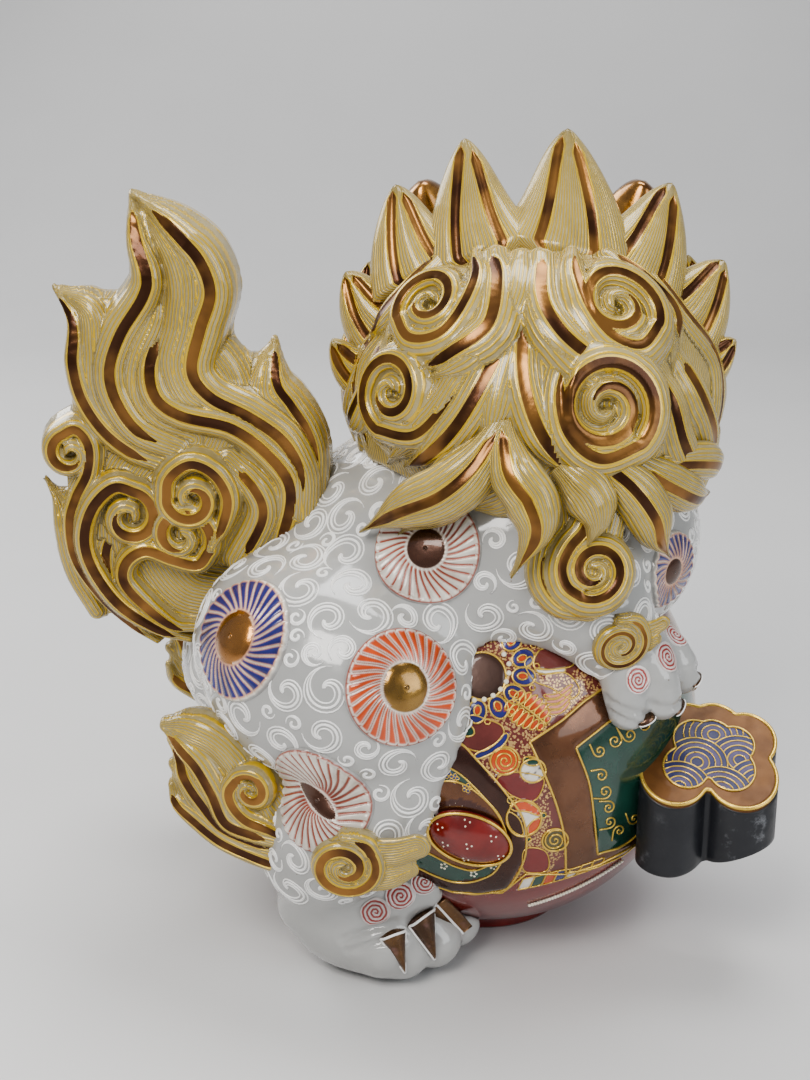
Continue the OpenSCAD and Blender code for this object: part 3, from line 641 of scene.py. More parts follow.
# ---------------------------------------------------------------- hair
class Strand:
    """One lock of hair in relief: a line with a width on each side, a height and a stripe."""

    def __init__(self, q, left, right, base, rise, stripe, fade, group, steep=6.0, gap=1.5):
        n = len(q)
        self.q = q
        self.t = unit(np.gradient(q, axis=0))
        self.step = np.linalg.norm(np.diff(q, axis=0), axis=1).max() * 0.75
        one = np.ones(n)
        self.left, self.right = np.maximum(left * one, 0.25), np.maximum(right * one, 0.25)
        self.base, self.rise = base * one, rise * one
        u = np.linspace(0, 1, n)
        live = smooth(u, fade[0], fade[0] + 0.08) * (1 - smooth(u, fade[1] - 0.12, fade[1]))
        room = 0.42 * np.minimum(self.left, self.right) + 0.25
        self.stripe = np.minimum(stripe * live, room) if stripe else np.zeros(n)
        self.group, self.steep = group, steep
        self.lines = max(2, round(0.5 * (self.left + self.right)[n // 4:3 * n // 4].mean() / gap))


def strand_field(p, nor, strands, floor):
    """Relief height, line number, stripe distance and group of the top lock at every point."""
    n = len(p)
    high, line, stripe = np.full(n, float(floor)), np.zeros(n), np.full(n, 9.0)
    group = np.full(n, -1)
    for s in strands:
        r = max(s.left.max(), s.right.max()) * 1.6 + 2
        near = np.where(((p >= s.q.min(0) - r) & (p <= s.q.max(0) + r)).all(1))[0]
        for c in np.array_split(near, max(1, len(near) * len(s.q) // 3000000)):
            if not len(c):
                continue
            d2 = (p[c] ** 2).sum(1)[:, None] - 2 * p[c] @ s.q.T + (s.q ** 2).sum(1)[None]
            j = d2.argmin(1)
            v = p[c] - s.q[j]
            al = np.clip((v * s.t[j]).sum(1), -s.step, s.step)
            d = np.sqrt(np.maximum((v ** 2).sum(1) - al ** 2, 0))
            left = (np.cross(s.t[j], v) * nor[c]).sum(1) > 0
            w = np.where(left, s.left[j], s.right[j])
            x = d / w
            inside = x < 1
            h = np.where(inside, s.base[j] * (1 - np.minimum(x, 1) ** s.steep) ** 0.5 + s.rise[j] * (1 - x ** 2),
                         (w - d) * 1.2)
            cut = s.stripe[j]
            sd = np.where(cut > 0.3, d / np.maximum(cut, 0.3), 9.0)
            h = h - np.where(sd < 1, 0.75 * (1 - np.minimum(sd, 1) ** 2) ** 0.5 * np.minimum(1, cut / 1.5), 0)
            up = h > high[c]
            k = c[up]
            high[k], line[k], stripe[k] = h[up], (x * s.lines)[up], np.minimum(sd, 9)[up]
            group[k] = np.where(inside[up], s.group, group[k])
    return high, line, stripe, group


def spiral_rooms(r, a, w):
    """Free width on the inner and outer side of a spiral, from its own neighbouring turns."""
    turn = np.abs(a - a[0])
    inner = np.empty(len(r))
    outer = np.full(len(r), float(w))
    for i in range(len(r)):
        later = np.interp(turn[i] + 2 * math.pi, turn, r, right=0.0)
        inner[i] = 0.5 * (r[i] - later) if later > 0 else 0.72 * r[i]
        if turn[i] > 2 * math.pi:
            outer[i] = 0.5 * (np.interp(turn[i] - 2 * math.pi, turn, r) - r[i])
    outer = np.where(turn > 2 * math.pi, outer, w)
    return np.maximum(inner, 0.9), np.maximum(outer, 0.9)


def flat_spiral(lead, centre, turns, hand):
    """Lead-in points, then a spiral from the last of them to the centre.
    Returns the points, the spiral's radii and angles, and how many points lead in."""
    lead = np.asarray(lead, float)
    d = lead[-1] - centre
    r0, a0 = np.hypot(*d), math.atan2(d[1], d[0])
    t = np.linspace(0, 1, int(40 * turns))
    r = r0 * ((1 - t) ** 0.85 * 0.9 + 0.1)
    a = a0 + hand * 2 * math.pi * turns * t
    sp = centre + np.stack([r * np.cos(a), r * np.sin(a)], 1)
    return np.vstack([lead[:-1], sp]), r, a, len(lead) - 1


def curl_strand(lead, centre, turns, hand, w_in, w_out, to_surface, base, rise, mm, **more):
    """A strand ending in a spiral. mm: how many mm one flat unit is."""
    lead = np.asarray(lead, float)
    extra = lead[:, 2:] if lead.shape[1] > 2 else None
    p, r, a, k = flat_spiral(lead[:, :2], np.asarray(centre, float), turns, hand)
    inner, outer = spiral_rooms(r * mm, a, w_out)
    n_in = np.r_[np.full(k, float(w_in)), np.minimum(inner, w_in)]
    n_out = np.r_[np.full(k, float(w_out)), outer]
    root = smooth(np.arange(len(p)), 0, 0.2 * len(p)) * 0.5 + 0.5
    cols = [p, (n_in * root)[:, None], (n_out * root)[:, None]]
    if extra is not None:
        cols.append(np.vstack([extra[:-1], np.repeat(extra[-1:], len(r), 0)]))
    full = np.hstack(cols)
    q3 = to_surface(full)
    length = np.linalg.norm(np.diff(q3, axis=0), axis=1).sum()
    both = resample(np.hstack([q3, full]), max(20, int(length / 1.3)))
    q3, full = both[:, :3], both[:, 3:]
    win, wout = full[:, 2], full[:, 3]
    left, right = (win, wout) if hand > 0 else (wout, win)
    lift = full[:, 4] if extra is not None else 0.0
    size = np.minimum(1, (win + wout) / (0.6 * (w_in + w_out))) ** 0.6
    return Strand(q3, left, right, base + lift, rise * size, **more)


def spread(a, n, pick=np.maximum):
    """Grows (or, with np.minimum, shrinks) a grid's high ground by n cells."""
    for _ in range(n):
        a[1:-1] = pick(pick(a[1:-1], a[:-2]), a[2:])
        a[:, 1:-1] = pick(pick(a[:, 1:-1], a[:, :-2]), a[:, 2:])
    return a


def plane_relief(strands, origin, e1, e2, groups, step=1.0):
    """Two-sided relief standing in the plane of e1 and e2, cut into closed pieces by group."""
    origin, e1, e2 = np.asarray(origin, float), unit(e1), unit(e2)
    e3 = np.cross(e1, e2)
    r = max(max(s.left.max(), s.right.max()) for s in strands) + 3
    lo = np.min([s.q.min(0) for s in strands], 0)[:2] - r
    hi = np.max([s.q.max(0) for s in strands], 0)[:2] + r
    xa, ya = np.arange(lo[0], hi[0], step), np.arange(lo[1], hi[1], step)
    X, Y = np.meshgrid(xa, ya, indexing="ij")
    p = np.stack([X.ravel(), Y.ravel(), np.zeros(X.size)], 1)
    up = np.tile(arr(0, 0, 1), (len(p), 1))
    floor = -12.0
    H = strand_field(p, up, strands, floor)[0].reshape(X.shape)
    H[1:-1, 1:-1] = 0.5 * H[1:-1, 1:-1] + 0.125 * (H[:-2, 1:-1] + H[2:, 1:-1] + H[1:-1, :-2] + H[1:-1, 2:])
    # narrow gaps between locks are closed with hair a little lower
    C = np.pad(H, 8, constant_values=floor)
    near = round(2 / step)
    free = spread((C <= 0).astype(float), near, np.minimum)
    outside = np.zeros_like(C)
    outside[0], outside[-1], outside[:, 0], outside[:, -1] = 1, 1, 1, 1
    while True:
        wider = spread(outside.copy(), 1) * free
        wider[0], wider[-1], wider[:, 0], wider[:, -1] = 1, 1, 1, 1
        if (wider == outside).all():
            break
        outside = wider
    C = spread(spread(C, round(5 / step)), round(5 / step), np.minimum)
    C[spread(outside, near) > 0] = floor
    H = np.maximum(H, C[8:-8, 8:-8] - np.clip(0.3 * C[8:-8, 8:-8], 1.0, 5.5))
    top = H.max() + 3
    za = np.arange(-top, top + step, step)
    g = np.gradient(H, step)
    steep = np.sqrt(1 + np.minimum(g[0] ** 2 + g[1] ** 2, 30))
    F = (np.abs(za) - H[..., None]) / steep[..., None]
    vol = openvdb.FloatGrid(20.0)
    vol.copyFromArray(np.ascontiguousarray(np.clip(F, -20, 20).astype(np.float32)))
    pts, quads = vol.convertToQuads(isovalue=0.0)
    v = np.asarray(pts, float) * step + arr(lo[0], lo[1], za[0])
    q = np.asarray(quads, int)
    f = v[q]
    if (np.cross(f[:, 2] - f[:, 0], f[:, 3] - f[:, 1]) * (f.mean(1) - f.mean((0, 1)))).sum() < 0:
        q = q[:, ::-1]
    v, q = biggest_part(v, q)
    v = relax(v, q, 1)
    flat = v * arr(1, 1, 0)
    up = np.tile(arr(0, 0, 1), (len(v), 1))
    _, line, stripe, group = strand_field(flat, up, strands, -60.0)
    n = vertex_normals(v, q)
    axes = np.stack([e1, e2, e3])
    v, n = origin + v @ axes, n @ axes
    own = np.sort(group[q], 1)[:, 2]
    own[own < 0] = 0
    for g, (name, node) in groups.items():
        faces = q[own == g]
        if len(faces):
            shell_piece(name, node, faces, 2.2, v, n, [M_HAIR], {"ln": line, "stripe": stripe})


def plane_strand(path, w, group, base, rise=4.5, stripe=2.2, widths=None, fade=(0.03, 0.96), gap=1.5):
    """path in the plane; widths: shares of w along it"""
    p = curve(path, 12)
    length = np.linalg.norm(np.diff(p, axis=0), axis=1).sum()
    p = resample(p, max(16, int(length / 1.3)))
    u = np.linspace(0, 1, len(p))
    k = np.interp(u, np.linspace(0, 1, len(widths)), widths) if widths else np.ones(len(p))
    k = np.convolve(np.pad(k, 4, mode="edge"), np.ones(9) / 9, mode="valid")
    wl, wr = w if isinstance(w, tuple) else (w, w)
    size = np.minimum(1, k * max(wl, wr) / 9.0) ** 0.75
    return Strand(np.column_stack([p, np.zeros(len(p))]), wl * k, wr * k, base * size, rise * size, stripe=stripe,
                  group=group, fade=fade, gap=gap)


def plane_spiral(path, centre, turns, hand, w_in, w_out, group, base, rise=4.5, stripe=2.0, gap=1.5):
    p = curve(path, 10)
    return curl_strand(p, centre, turns, hand, w_in, w_out,
                       lambda full: np.column_stack([full[:, :2], np.zeros(len(full))]), base, rise, 1.0,
                       stripe=stripe, group=group, fade=(0.02, 0.98), gap=gap)


# ---------------------------------------------------------------- swept locks
def lock_mesh(bag, centre, normal, width, height, stripes, lines=1.45, nu=30, both=False, flat=2.2):
    """One lock of hair swept along centre. width and height are half sizes along it.
    stripes: (place across from -1 to 1, half width, from, to) of recessed copper stripes."""
    n = len(centre)
    t = unit(np.gradient(centre, axis=0))
    nor = unit(normal - (normal * t).sum(1)[:, None] * t)
    side = np.cross(t, nor)
    u = np.linspace(-1, 1, nu)
    s_mm = width[:, None] * u[None]
    along = np.linspace(0, 1, n)[:, None]
    prof = (1 - np.abs(u) ** flat) ** 0.62
    top = height[:, None] * prof[None]
    top = top + height[:, None] * 0.07 * np.cos(u * math.pi * 3)[None] * prof
    dist = np.full((n, nu), 9.0)
    for place, half, a, b in stripes:
        live = smooth(along, a, a + 0.10) * (1 - smooth(along, b - 0.12, b))
        room = np.minimum(half, width[:, None] * 0.34)
        d = np.abs(s_mm - place * width[:, None]) / np.maximum(room * live, 1e-3)
        dist = np.minimum(dist, np.minimum(d, 9.0))
        top = top - np.minimum(0.85, 0.2 * height[:, None]) * np.clip(1 - d, 0, 1) ** 0.5 * (d < 1)
    c = centre[:, None] + side[:, None] * s_mm[..., None]
    up = c + nor[:, None] * top[..., None]
    count = max(3, round(2 * width.max() / lines))
    ln = np.broadcast_to((u + 1) / 2 * count, (n, nu))
    if both:
        low = c - nor[:, None] * top[..., None]
    else:
        low = c - nor[:, None] * (3.0 * prof[None] ** 0.5)[..., None] * np.minimum(1, width / 4)[:, None, None]
    ring = np.concatenate([up, low[:, 1:-1][:, ::-1]], 1)
    lnr = np.concatenate([ln, ln[:, 1:-1][:, ::-1]], 1)
    dr = np.concatenate([dist, (dist if both else np.full_like(dist, 9.0))[:, 1:-1][:, ::-1]], 1)
    m = ring.shape[1]
    v = np.vstack([ring.reshape(-1, 3), centre[:1], centre[-1:]])
    bag.add(v, flipped(capped(n, m)), 0, ln=np.r_[lnr.ravel(), count / 2, count / 2],
            stripe=np.r_[dr.ravel(), 9, 9])


def on_mane(b, h, out):
    b, h, out = np.radians(b), np.radians(h), np.asarray(out, float)
    d = np.stack([np.sin(b) * np.cos(h) * MANE_R[0], -np.cos(b) * np.cos(h) * MANE_R[1], np.sin(h) * MANE_R[2]], -1)
    return MANE + d * out[..., None]


def mane_normal(b, h):
    b, h = np.radians(b), np.radians(h)
    return unit(np.stack([np.sin(b) * np.cos(h) / MANE_R[0], -np.cos(b) * np.cos(h) / MANE_R[1],
                          np.sin(h) / MANE_R[2]], -1))


def taper(n, root, tip, full):
    t = np.linspace(0, 1, n)
    rise = root + (1 - root) * smooth(t, 0, full)
    fall = 1 - (1 - tip) * smooth(t, full + 0.1, 1.0) ** 1.15
    return rise * fall


def mane_lock(bag, path, w, h, stripes, root, n=70):
    """path: [bearing, height angle, out]"""
    p = resample(curve(path, 12), n)
    c = on_mane(p[:, 0], p[:, 1], p[:, 2])
    nor = mane_normal(p[:, 0], p[:, 1])
    k = taper(n, root, 0.06, 0.4)
    lock_mesh(bag, c, nor, w * k, h * (0.35 + 0.65 * k), stripes)


MANE_BASE = 0.95                                 # the relief is counted from a slightly smaller ellipsoid


def mane_foot(b, h):
    return on_mane(b, h, np.full(np.shape(b), MANE_BASE))


def mane_strand(path, w, group, stripe=2.1, rise=5.0, tip=0.05):
    """path: [bearing, height angle, out]"""
    p = curve(path, 14)
    q3 = mane_foot(p[:, 0], p[:, 1])
    length = np.linalg.norm(np.diff(q3, axis=0), axis=1).sum()
    both = resample(np.hstack([q3, p]), max(16, int(length / 1.3)))
    n = len(both)
    u = np.linspace(0, 1, n)
    k = (0.75 + 0.25 * smooth(u, 0, 0.3)) * (1 - (1 - tip) * smooth(u, 0.55, 1.0) ** 1.3)
    wl, wr = w if isinstance(w, tuple) else (w, w)
    lift = (both[:, 5] - MANE_BASE) * MANE_R[2] * 0.8
    return Strand(both[:, :3], wl * k, wr * k, lift, rise * k ** 0.5, stripe=stripe, group=group, steep=4.0,
                  fade=(0.03, 0.95))


def mane_spiral(path, centre, turns, hand, w_in, w_out, group, stripe=2.1, rise=5.0):
    p = curve(path, 10)
    c = math.cos(math.radians(centre[1]))
    q = p.copy()
    q[:, 0] = (p[:, 0] - centre[0]) * c
    q[:, 1] = p[:, 1] - centre[1]
    q[:, 2] = (p[:, 2] - MANE_BASE) * MANE_R[2] * 0.8

    def back(full):
        return mane_foot(full[:, 0] / c + centre[0], full[:, 1] + centre[1])

    return curl_strand(q, (0, 0), turns, hand, w_in, w_out, back, 0.0, rise, MANE_R[2] * math.pi / 180,
                       stripe=stripe, group=group, steep=4.0, fade=(0.02, 0.985))


def make_mane():
    U, M, C, K = 0, 1, 2, 3                      # crown, parted locks, side curls, cheeks
    st = [
        mane_strand([[-29, 60, 1.06], [-20, 50, 1.09], [-18, 35, 1.13], [-28, 26, 1.14], [-39, 20, 1.13]], (12, 10),
                    U),
        mane_strand([[-13, 60, 1.06], [-12, 47, 1.09], [-13, 36, 1.10]], 10, U, stripe=0, tip=0.5),
        mane_strand([[-1, 60, 1.06], [-2, 45, 1.09], [3, 34, 1.13], [12, 26, 1.14], [24, 20, 1.13]], (10, 12), U),
        mane_strand([[-12, 44, 1.09], [-16, 34, 1.11], [-26, 24, 1.12], [-36, 18, 1.10]], 8, U, stripe=0),
        mane_strand([[-6, 44, 1.09], [-1, 34, 1.11], [10, 22, 1.12], [22, 16, 1.10]], 8, U, stripe=0),
        mane_spiral([[-41, 60, 1.05], [-30, 51, 1.09], [-28, 41, 1.12], [-32, 31, 1.14], [-42, 28, 1.14],
                     [-51, 33, 1.14]], (-42, 39), 1.35, -1, 6.0, 8, U, stripe=1.6),
        mane_spiral([[18, 62, 1.05], [13, 54, 1.09], [13, 42, 1.12], [18, 32, 1.14], [27, 28, 1.14],
                     [36, 33, 1.14]], (24, 40), 1.5, 1, 6.5, 12, U, stripe=1.6),
        mane_strand([[-64, 56, 1.03], [-60, 46, 1.06], [-63, 34, 1.07], [-70, 24, 1.06]], 9, U, stripe=1.8),
        mane_strand([[42, 60, 1.03], [46, 48, 1.06], [50, 36, 1.07], [46, 26, 1.07]], 9, U, stripe=1.8),
        # parted locks under the crown
        mane_strand([[-12, 38, 1.02], [-17, 22, 1.06], [-24, 7, 1.10], [-33, -3, 1.12], [-43, -9, 1.10]], (10, 12),
                    M),
        mane_strand([[-14, 36, 1.02], [-25, 22, 1.05], [-32, 9, 1.07], [-43, -3, 1.08], [-52, -11, 1.07]], 9, M,
                    stripe=0),
        mane_strand([[-8, 39, 1.02], [-7, 22, 1.06], [-3, 9, 1.10], [3, 0, 1.12], [13, -8, 1.10]], (9, 11), M),
        mane_strand([[-10, 38, 1.02], [-13, 22, 1.05], [-15, 8, 1.08], [-16, -2, 1.08]], 9, M, stripe=0),
        mane_strand([[29, 24, 1.04], [36, 13, 1.06], [40, 0, 1.07], [50, -15, 1.06], [55, -24, 1.04]], 12, M),
        mane_strand([[46, 24, 1.0], [52, 10, 1.02], [60, -5, 1.02], [64, -20, 1.01]], 11, M),
        mane_strand([[-60, 27, 1.0], [-62, 12, 1.02], [-68, 1, 1.03], [-80, -9, 1.02]], 9.5, M, stripe=1.8),
        mane_strand([[-74, 20, 0.99], [-78, 8, 1.0], [-84, -2, 1.0], [-90, -10, 0.99]], 8.5, M, stripe=1.6),
        mane_strand([[36, -6, 1.02], [28, -14, 1.04], [20, -20, 1.04]], 13, M, stripe=0),
        mane_strand([[0, -2, 1.04], [-10, -12, 1.06], [-24, -20, 1.06]], 14, M, stripe=0),
        # side curls
        mane_spiral([[-24, 26, 1.04], [-28, 13, 1.07], [-36, 3, 1.10], [-49, 2, 1.11]], (-46, 13), 1.45, -1, 6.0, 8,
                    C, stripe=1.6, rise=5.0),
        mane_spiral([[5, 28, 1.05], [3, 18, 1.09], [5, 7, 1.13], [13, 0, 1.15], [24, 3, 1.16]], (15, 13), 1.9, 1,
                    7.5, 12.5, C, stripe=1.9, rise=5.0),
    ]
    # the cheeks and the rows above the face
    for s in (-1, 1):
        for i, b in enumerate((70, 84, 98, 112, 126, 140, 154, 168)):
            sw = (-6, 6)[i % 2]
            out = 0.97 if i < 2 else 1.0
            end = -15 if s < 0 and i < 2 else -24
            st.append(mane_strand([[s * b, 56 - i, out], [s * (b + sw), 36, out + 0.01],
                                   [s * (b - sw * 0.6), 16, out + 0.02],
                                   [s * (b + sw * 0.6), -4, out + 0.02], [s * (b - 4), end, out]],
                                  11 if i < 5 else 10, K, stripe=1.9, rise=4.5))
        for i, b in enumerate((76, 90, 104, 118, 132)):
            if s > 0 or i > 1:
                st.append(mane_strand([[s * b, -8, 0.98], [s * (b + 5), -22, 1.01], [s * (b - 3), -36, 1.03],
                                       [s * (b - 10), -50, 1.02]], 10.5, K, stripe=1.8, rise=4.5))
    nb, nh = 540, 214
    b = np.linspace(-180, 180, nb, endpoint=False)
    h = np.linspace(-56, 89.5, nh)
    H, B = np.meshgrid(h, b, indexing="ij")
    p = mane_foot(B.ravel(), H.ravel())
    nor = mane_normal(B.ravel(), H.ravel())
    high, line, stripe, group = strand_field(p, nor, st, 3.5)
    bare = group < 0
    line[bare] = (B.ravel()[bare] + 3 * np.sin(H.ravel()[bare] / 7)) * 0.75
    # the ground between the locks follows their height, so no lock stands over a pit
    body_h = high.reshape(nh, nb)
    ground = body_h.copy()
    for _ in range(7):
        ground = np.maximum(np.maximum(ground, np.roll(ground, 1, 1)), np.roll(ground, -1, 1))
        ground[1:-1] = np.maximum(np.maximum(ground[1:-1], ground[:-2]), ground[2:])
    for _ in range(9):
        ground = blur(ground)
    hh = np.maximum(body_h, ground - 6.5)
    # the lower rim sinks into the neck
    rim = np.interp(B, (-180, -120, -100, -90, -80, -58, -40, -20, 0, 40, 75, 100, 180),
                    (-60, -48, -34, -24, -15, -13, -15, -20, -26, -34, -44, -50, -60))
    side_b = np.abs(B)
    rim = rim + 9 * (1 - np.abs(np.cos((side_b - 66) * math.pi / 14))) * smooth(side_b, 62, 74)
    hh = hh - 13 * smooth(rim - H, 0, 6)
    edge = mane_hi[1] - 1.0
    fade = 1 - smooth(p[:, 1], edge - 10, edge)
    high = (0.35 * hh + 0.65 * blur(hh)).ravel()
    v = p + nor * (high * fade)[:, None]
    v[:, 1] = np.minimum(v[:, 1], edge)
    v = np.vstack([v, MANE + arr(0, 0, MANE_R[2] + 0.6)])
    f = grid_faces(nh, nb)
    nn = vertex_normals(v, f)
    nn[-1] = (0, 0, 1)
    lat = np.r_[line, 0]
    stp = np.r_[stripe, 9]
    grp = group[f].max(1)
    for g, name, node in ((-1, "mane_under_cap", "mane_cap"), (U, "mane_crown_curls", "mane_curls_upper"),
                          (M, "mane_parted_locks", "mane_locks"), (C, "mane_side_curls", "mane_curls_lower"),
                          (K, "mane_cheek_locks", "mane_cheeks")):
        faces = f[grp == g]
        shell_piece(name, node, faces, 5.0, v, nn, [M_HAIR], {"ln": lat, "stripe": stp})

    # locks that hang free over the nape and the shoulder
    nape = Bag()
    for path, w, h, across, half, live, root, n in (
            ([[-12, 8, 1.04], [-17, -2, 1.13], [-24, -9, 1.20], [-34, -14, 1.26], [-48, -22, 1.32]],
             12.5, 8, 0.1, 2.2, (0.05, 0.97), 0.5, 90),
            ([[-14, 4, 1.02], [-22, -6, 1.12], [-30, -16, 1.18], [-40, -24, 1.22]], 12, 7, 0, 0, None, 0.6, 70),
            ([[-12, 8, 1.04], [-9, -2, 1.15], [-4, -9, 1.24], [-3, -16, 1.31], [-8, -25, 1.40]],
             11.5, 8, 0, 2.2, (0.05, 0.97), 0.45, 90),
            ([[4, -3, 1.05], [10, -9, 1.13], [12, -16, 1.20], [10, -22, 1.24]], 11, 8, 0, 0, None, 0.6, 70),
            ([[14, -2, 1.04], [21, -8, 1.11], [27, -16, 1.17], [31, -24, 1.21], [38, -31, 1.22]],
             11, 7.5, 0, 2.1, (0.05, 0.95), 0.6, 80),
            ([[22, -3, 1.03], [36, -12, 1.07], [50, -19, 1.08], [64, -22, 1.06]],
             10.5, 7, 0, 2.0, (0.08, 0.95), 0.7, 70),
            ([[34, -6, 1.02], [48, -8, 1.05], [60, -12, 1.05], [72, -20, 1.03]],
             9, 6.5, 0, 1.8, (0.08, 0.95), 0.7, 70)):
        mane_lock(nape, path, w, h, [(across, half, *live)] if half else [], root, n)
    nape.make("mane_nape_locks", ["mane_nape"], "gilt_hair", [M_HAIR])
    curl = [plane_spiral([(-10, 42), (-9, 35), (-6.5, 28), (-9, 20), (-15, 13), (-18.5, 5), (-16.5, -3), (-10, -8)],
                         (-4.5, 3), 1.5, 1, 6.5, 8.5, 0, 7.0, 4.0, stripe=2.0),
            plane_strand([(-20, 40), (-17, 30), (-17, 22), (-24, 12), (-25, 0), (-18, -10), (-6, -14)], (6, 7), 0,
                         5.5, 3.0, stripe=1.6, widths=[0.7, 1, 1, 1, 1, 0.9, 0.6], fade=(0.45, 0.98)),
            plane_strand([(0, 38), (2, 30), (0, 20), (-4, 6), (-5, 0)], 9, 0, 5.0, 2.0, stripe=0),
            plane_strand([(-2, 14), (3, 6), (3, -4), (-4, -12)], 6, 0, 5.0, 2.0, stripe=0)]
    plane_relief(curl, on_mane(arr(14.9), arr(-30.8), arr(1.306))[0], (1, 0.1, 0), (0, 0.34, 0.94),
                 {0: ("mane_nape_curl", "mane_nape")}, 0.9)


def spike(bag, base, tip, w, bend, thick):
    """A broad hair flame: near straight sides, a blunt tip and two stripes."""
    d = tip - base
    side = unit(np.cross(d, (0, 1, 0)))
    n = 70
    t = np.linspace(0, 1, n)
    sway = bend * np.linalg.norm(d) * np.sin(t * math.pi * 1.2) * (1 - 0.4 * t)
    c = base + d * t[:, None] + side * sway[:, None]
    k = (1 - 0.84 * t ** 1.02) * np.sqrt(np.maximum(1 - t ** 14, 0)) * (0.35 + 0.65 * smooth(t, 0, 0.16)) + 0.01
    lock_mesh(bag, c, np.broadcast_to(arr(0, -1, 0), c.shape), w * k, thick * (0.35 + 0.65 * k),
              [(-0.40, 2.2, 0.03, 0.97), (0.36, 2.2, 0.03, 0.92)], both=True, nu=36, lines=1.6, flat=2.6)


def make_crest():
    bag = Bag()
    lo, hi = cad_box("mane_crest")
    size = hi - lo
    # tip and base as shares of the crest's box, their depths, half width, bend, thickness
    for fx, fz, y, bx, bz, by, w, bend, thick in (
            (0.01, 0.145, -12, 0.10, 0.00, -12, 15, 0.09, 8), (0.045, 0.42, 0, 0.16, 0.20, -10, 23, 0.08, 9),
            (0.165, 0.79, 5, 0.25, 0.40, -17, 28, 0.05, 10), (0.33, 0.975, 12, 0.395, 0.46, -23, 30, 0.04, 11),
            (0.585, 1.015, 13, 0.553, 0.46, -23, 36, -0.04, 12), (0.835, 0.78, 12, 0.705, 0.39, -18, 31, -0.05, 11),
            (0.965, 0.455, 6, 0.84, 0.21, -11, 28, -0.05, 10), (0.995, 0.135, -6, 0.90, 0.02, -11, 16, -0.07, 8)):
        spike(bag, arr(lo[0] + bx * size[0], by, lo[2] + bz * size[2]),
              arr(lo[0] + fx * size[0], y, lo[2] + fz * size[2]), w, bend, thick)
    # the row behind, seen from the face, stands on bearing and height angle
    for fx, fz, y, bear, height, w, bend, thick in (
            (0.10, 0.42, 26, -104, 30, 18, 0.06, 8), (0.22, 0.62, 30, -118, 50, 20, 0.05, 8),
            (0.47, 0.62, 36, 175, 64, 26, 0.03, 8),
            (0.77, 0.60, 34, 112, 52, 22, -0.05, 8), (0.90, 0.44, 28, 102, 32, 18, -0.06, 8),
            (0.93, 0.16, 24, 100, 12, 15, -0.06, 8),
            (0.06, 0.16, 24, -100, 10, 15, 0.06, 8)):
        tip = arr(lo[0] + fx * size[0], y, lo[2] + fz * size[2])
        spike(bag, on_mane(arr(bear), arr(height - 5), arr(0.93))[0], tip, w, bend, thick)
    bag.make("mane_crest_flames", ["mane_crest"], "gilt_hair", [M_HAIR])


make_mane()
make_crest()

# ---------------------------------------------------------------- tail
tail_boxes = [cad_box(n) for n in ("tail_plume", "tail_flame_left", "tail_flame_right", "tail_curls", "tail_sweep")]
TL = np.min([b[0] for b in tail_boxes], 0)
TH = np.max([b[1] for b in tail_boxes], 0)
TAIL_Y = (tail_boxes[0][0][1] + tail_boxes[0][1][1]) / 2


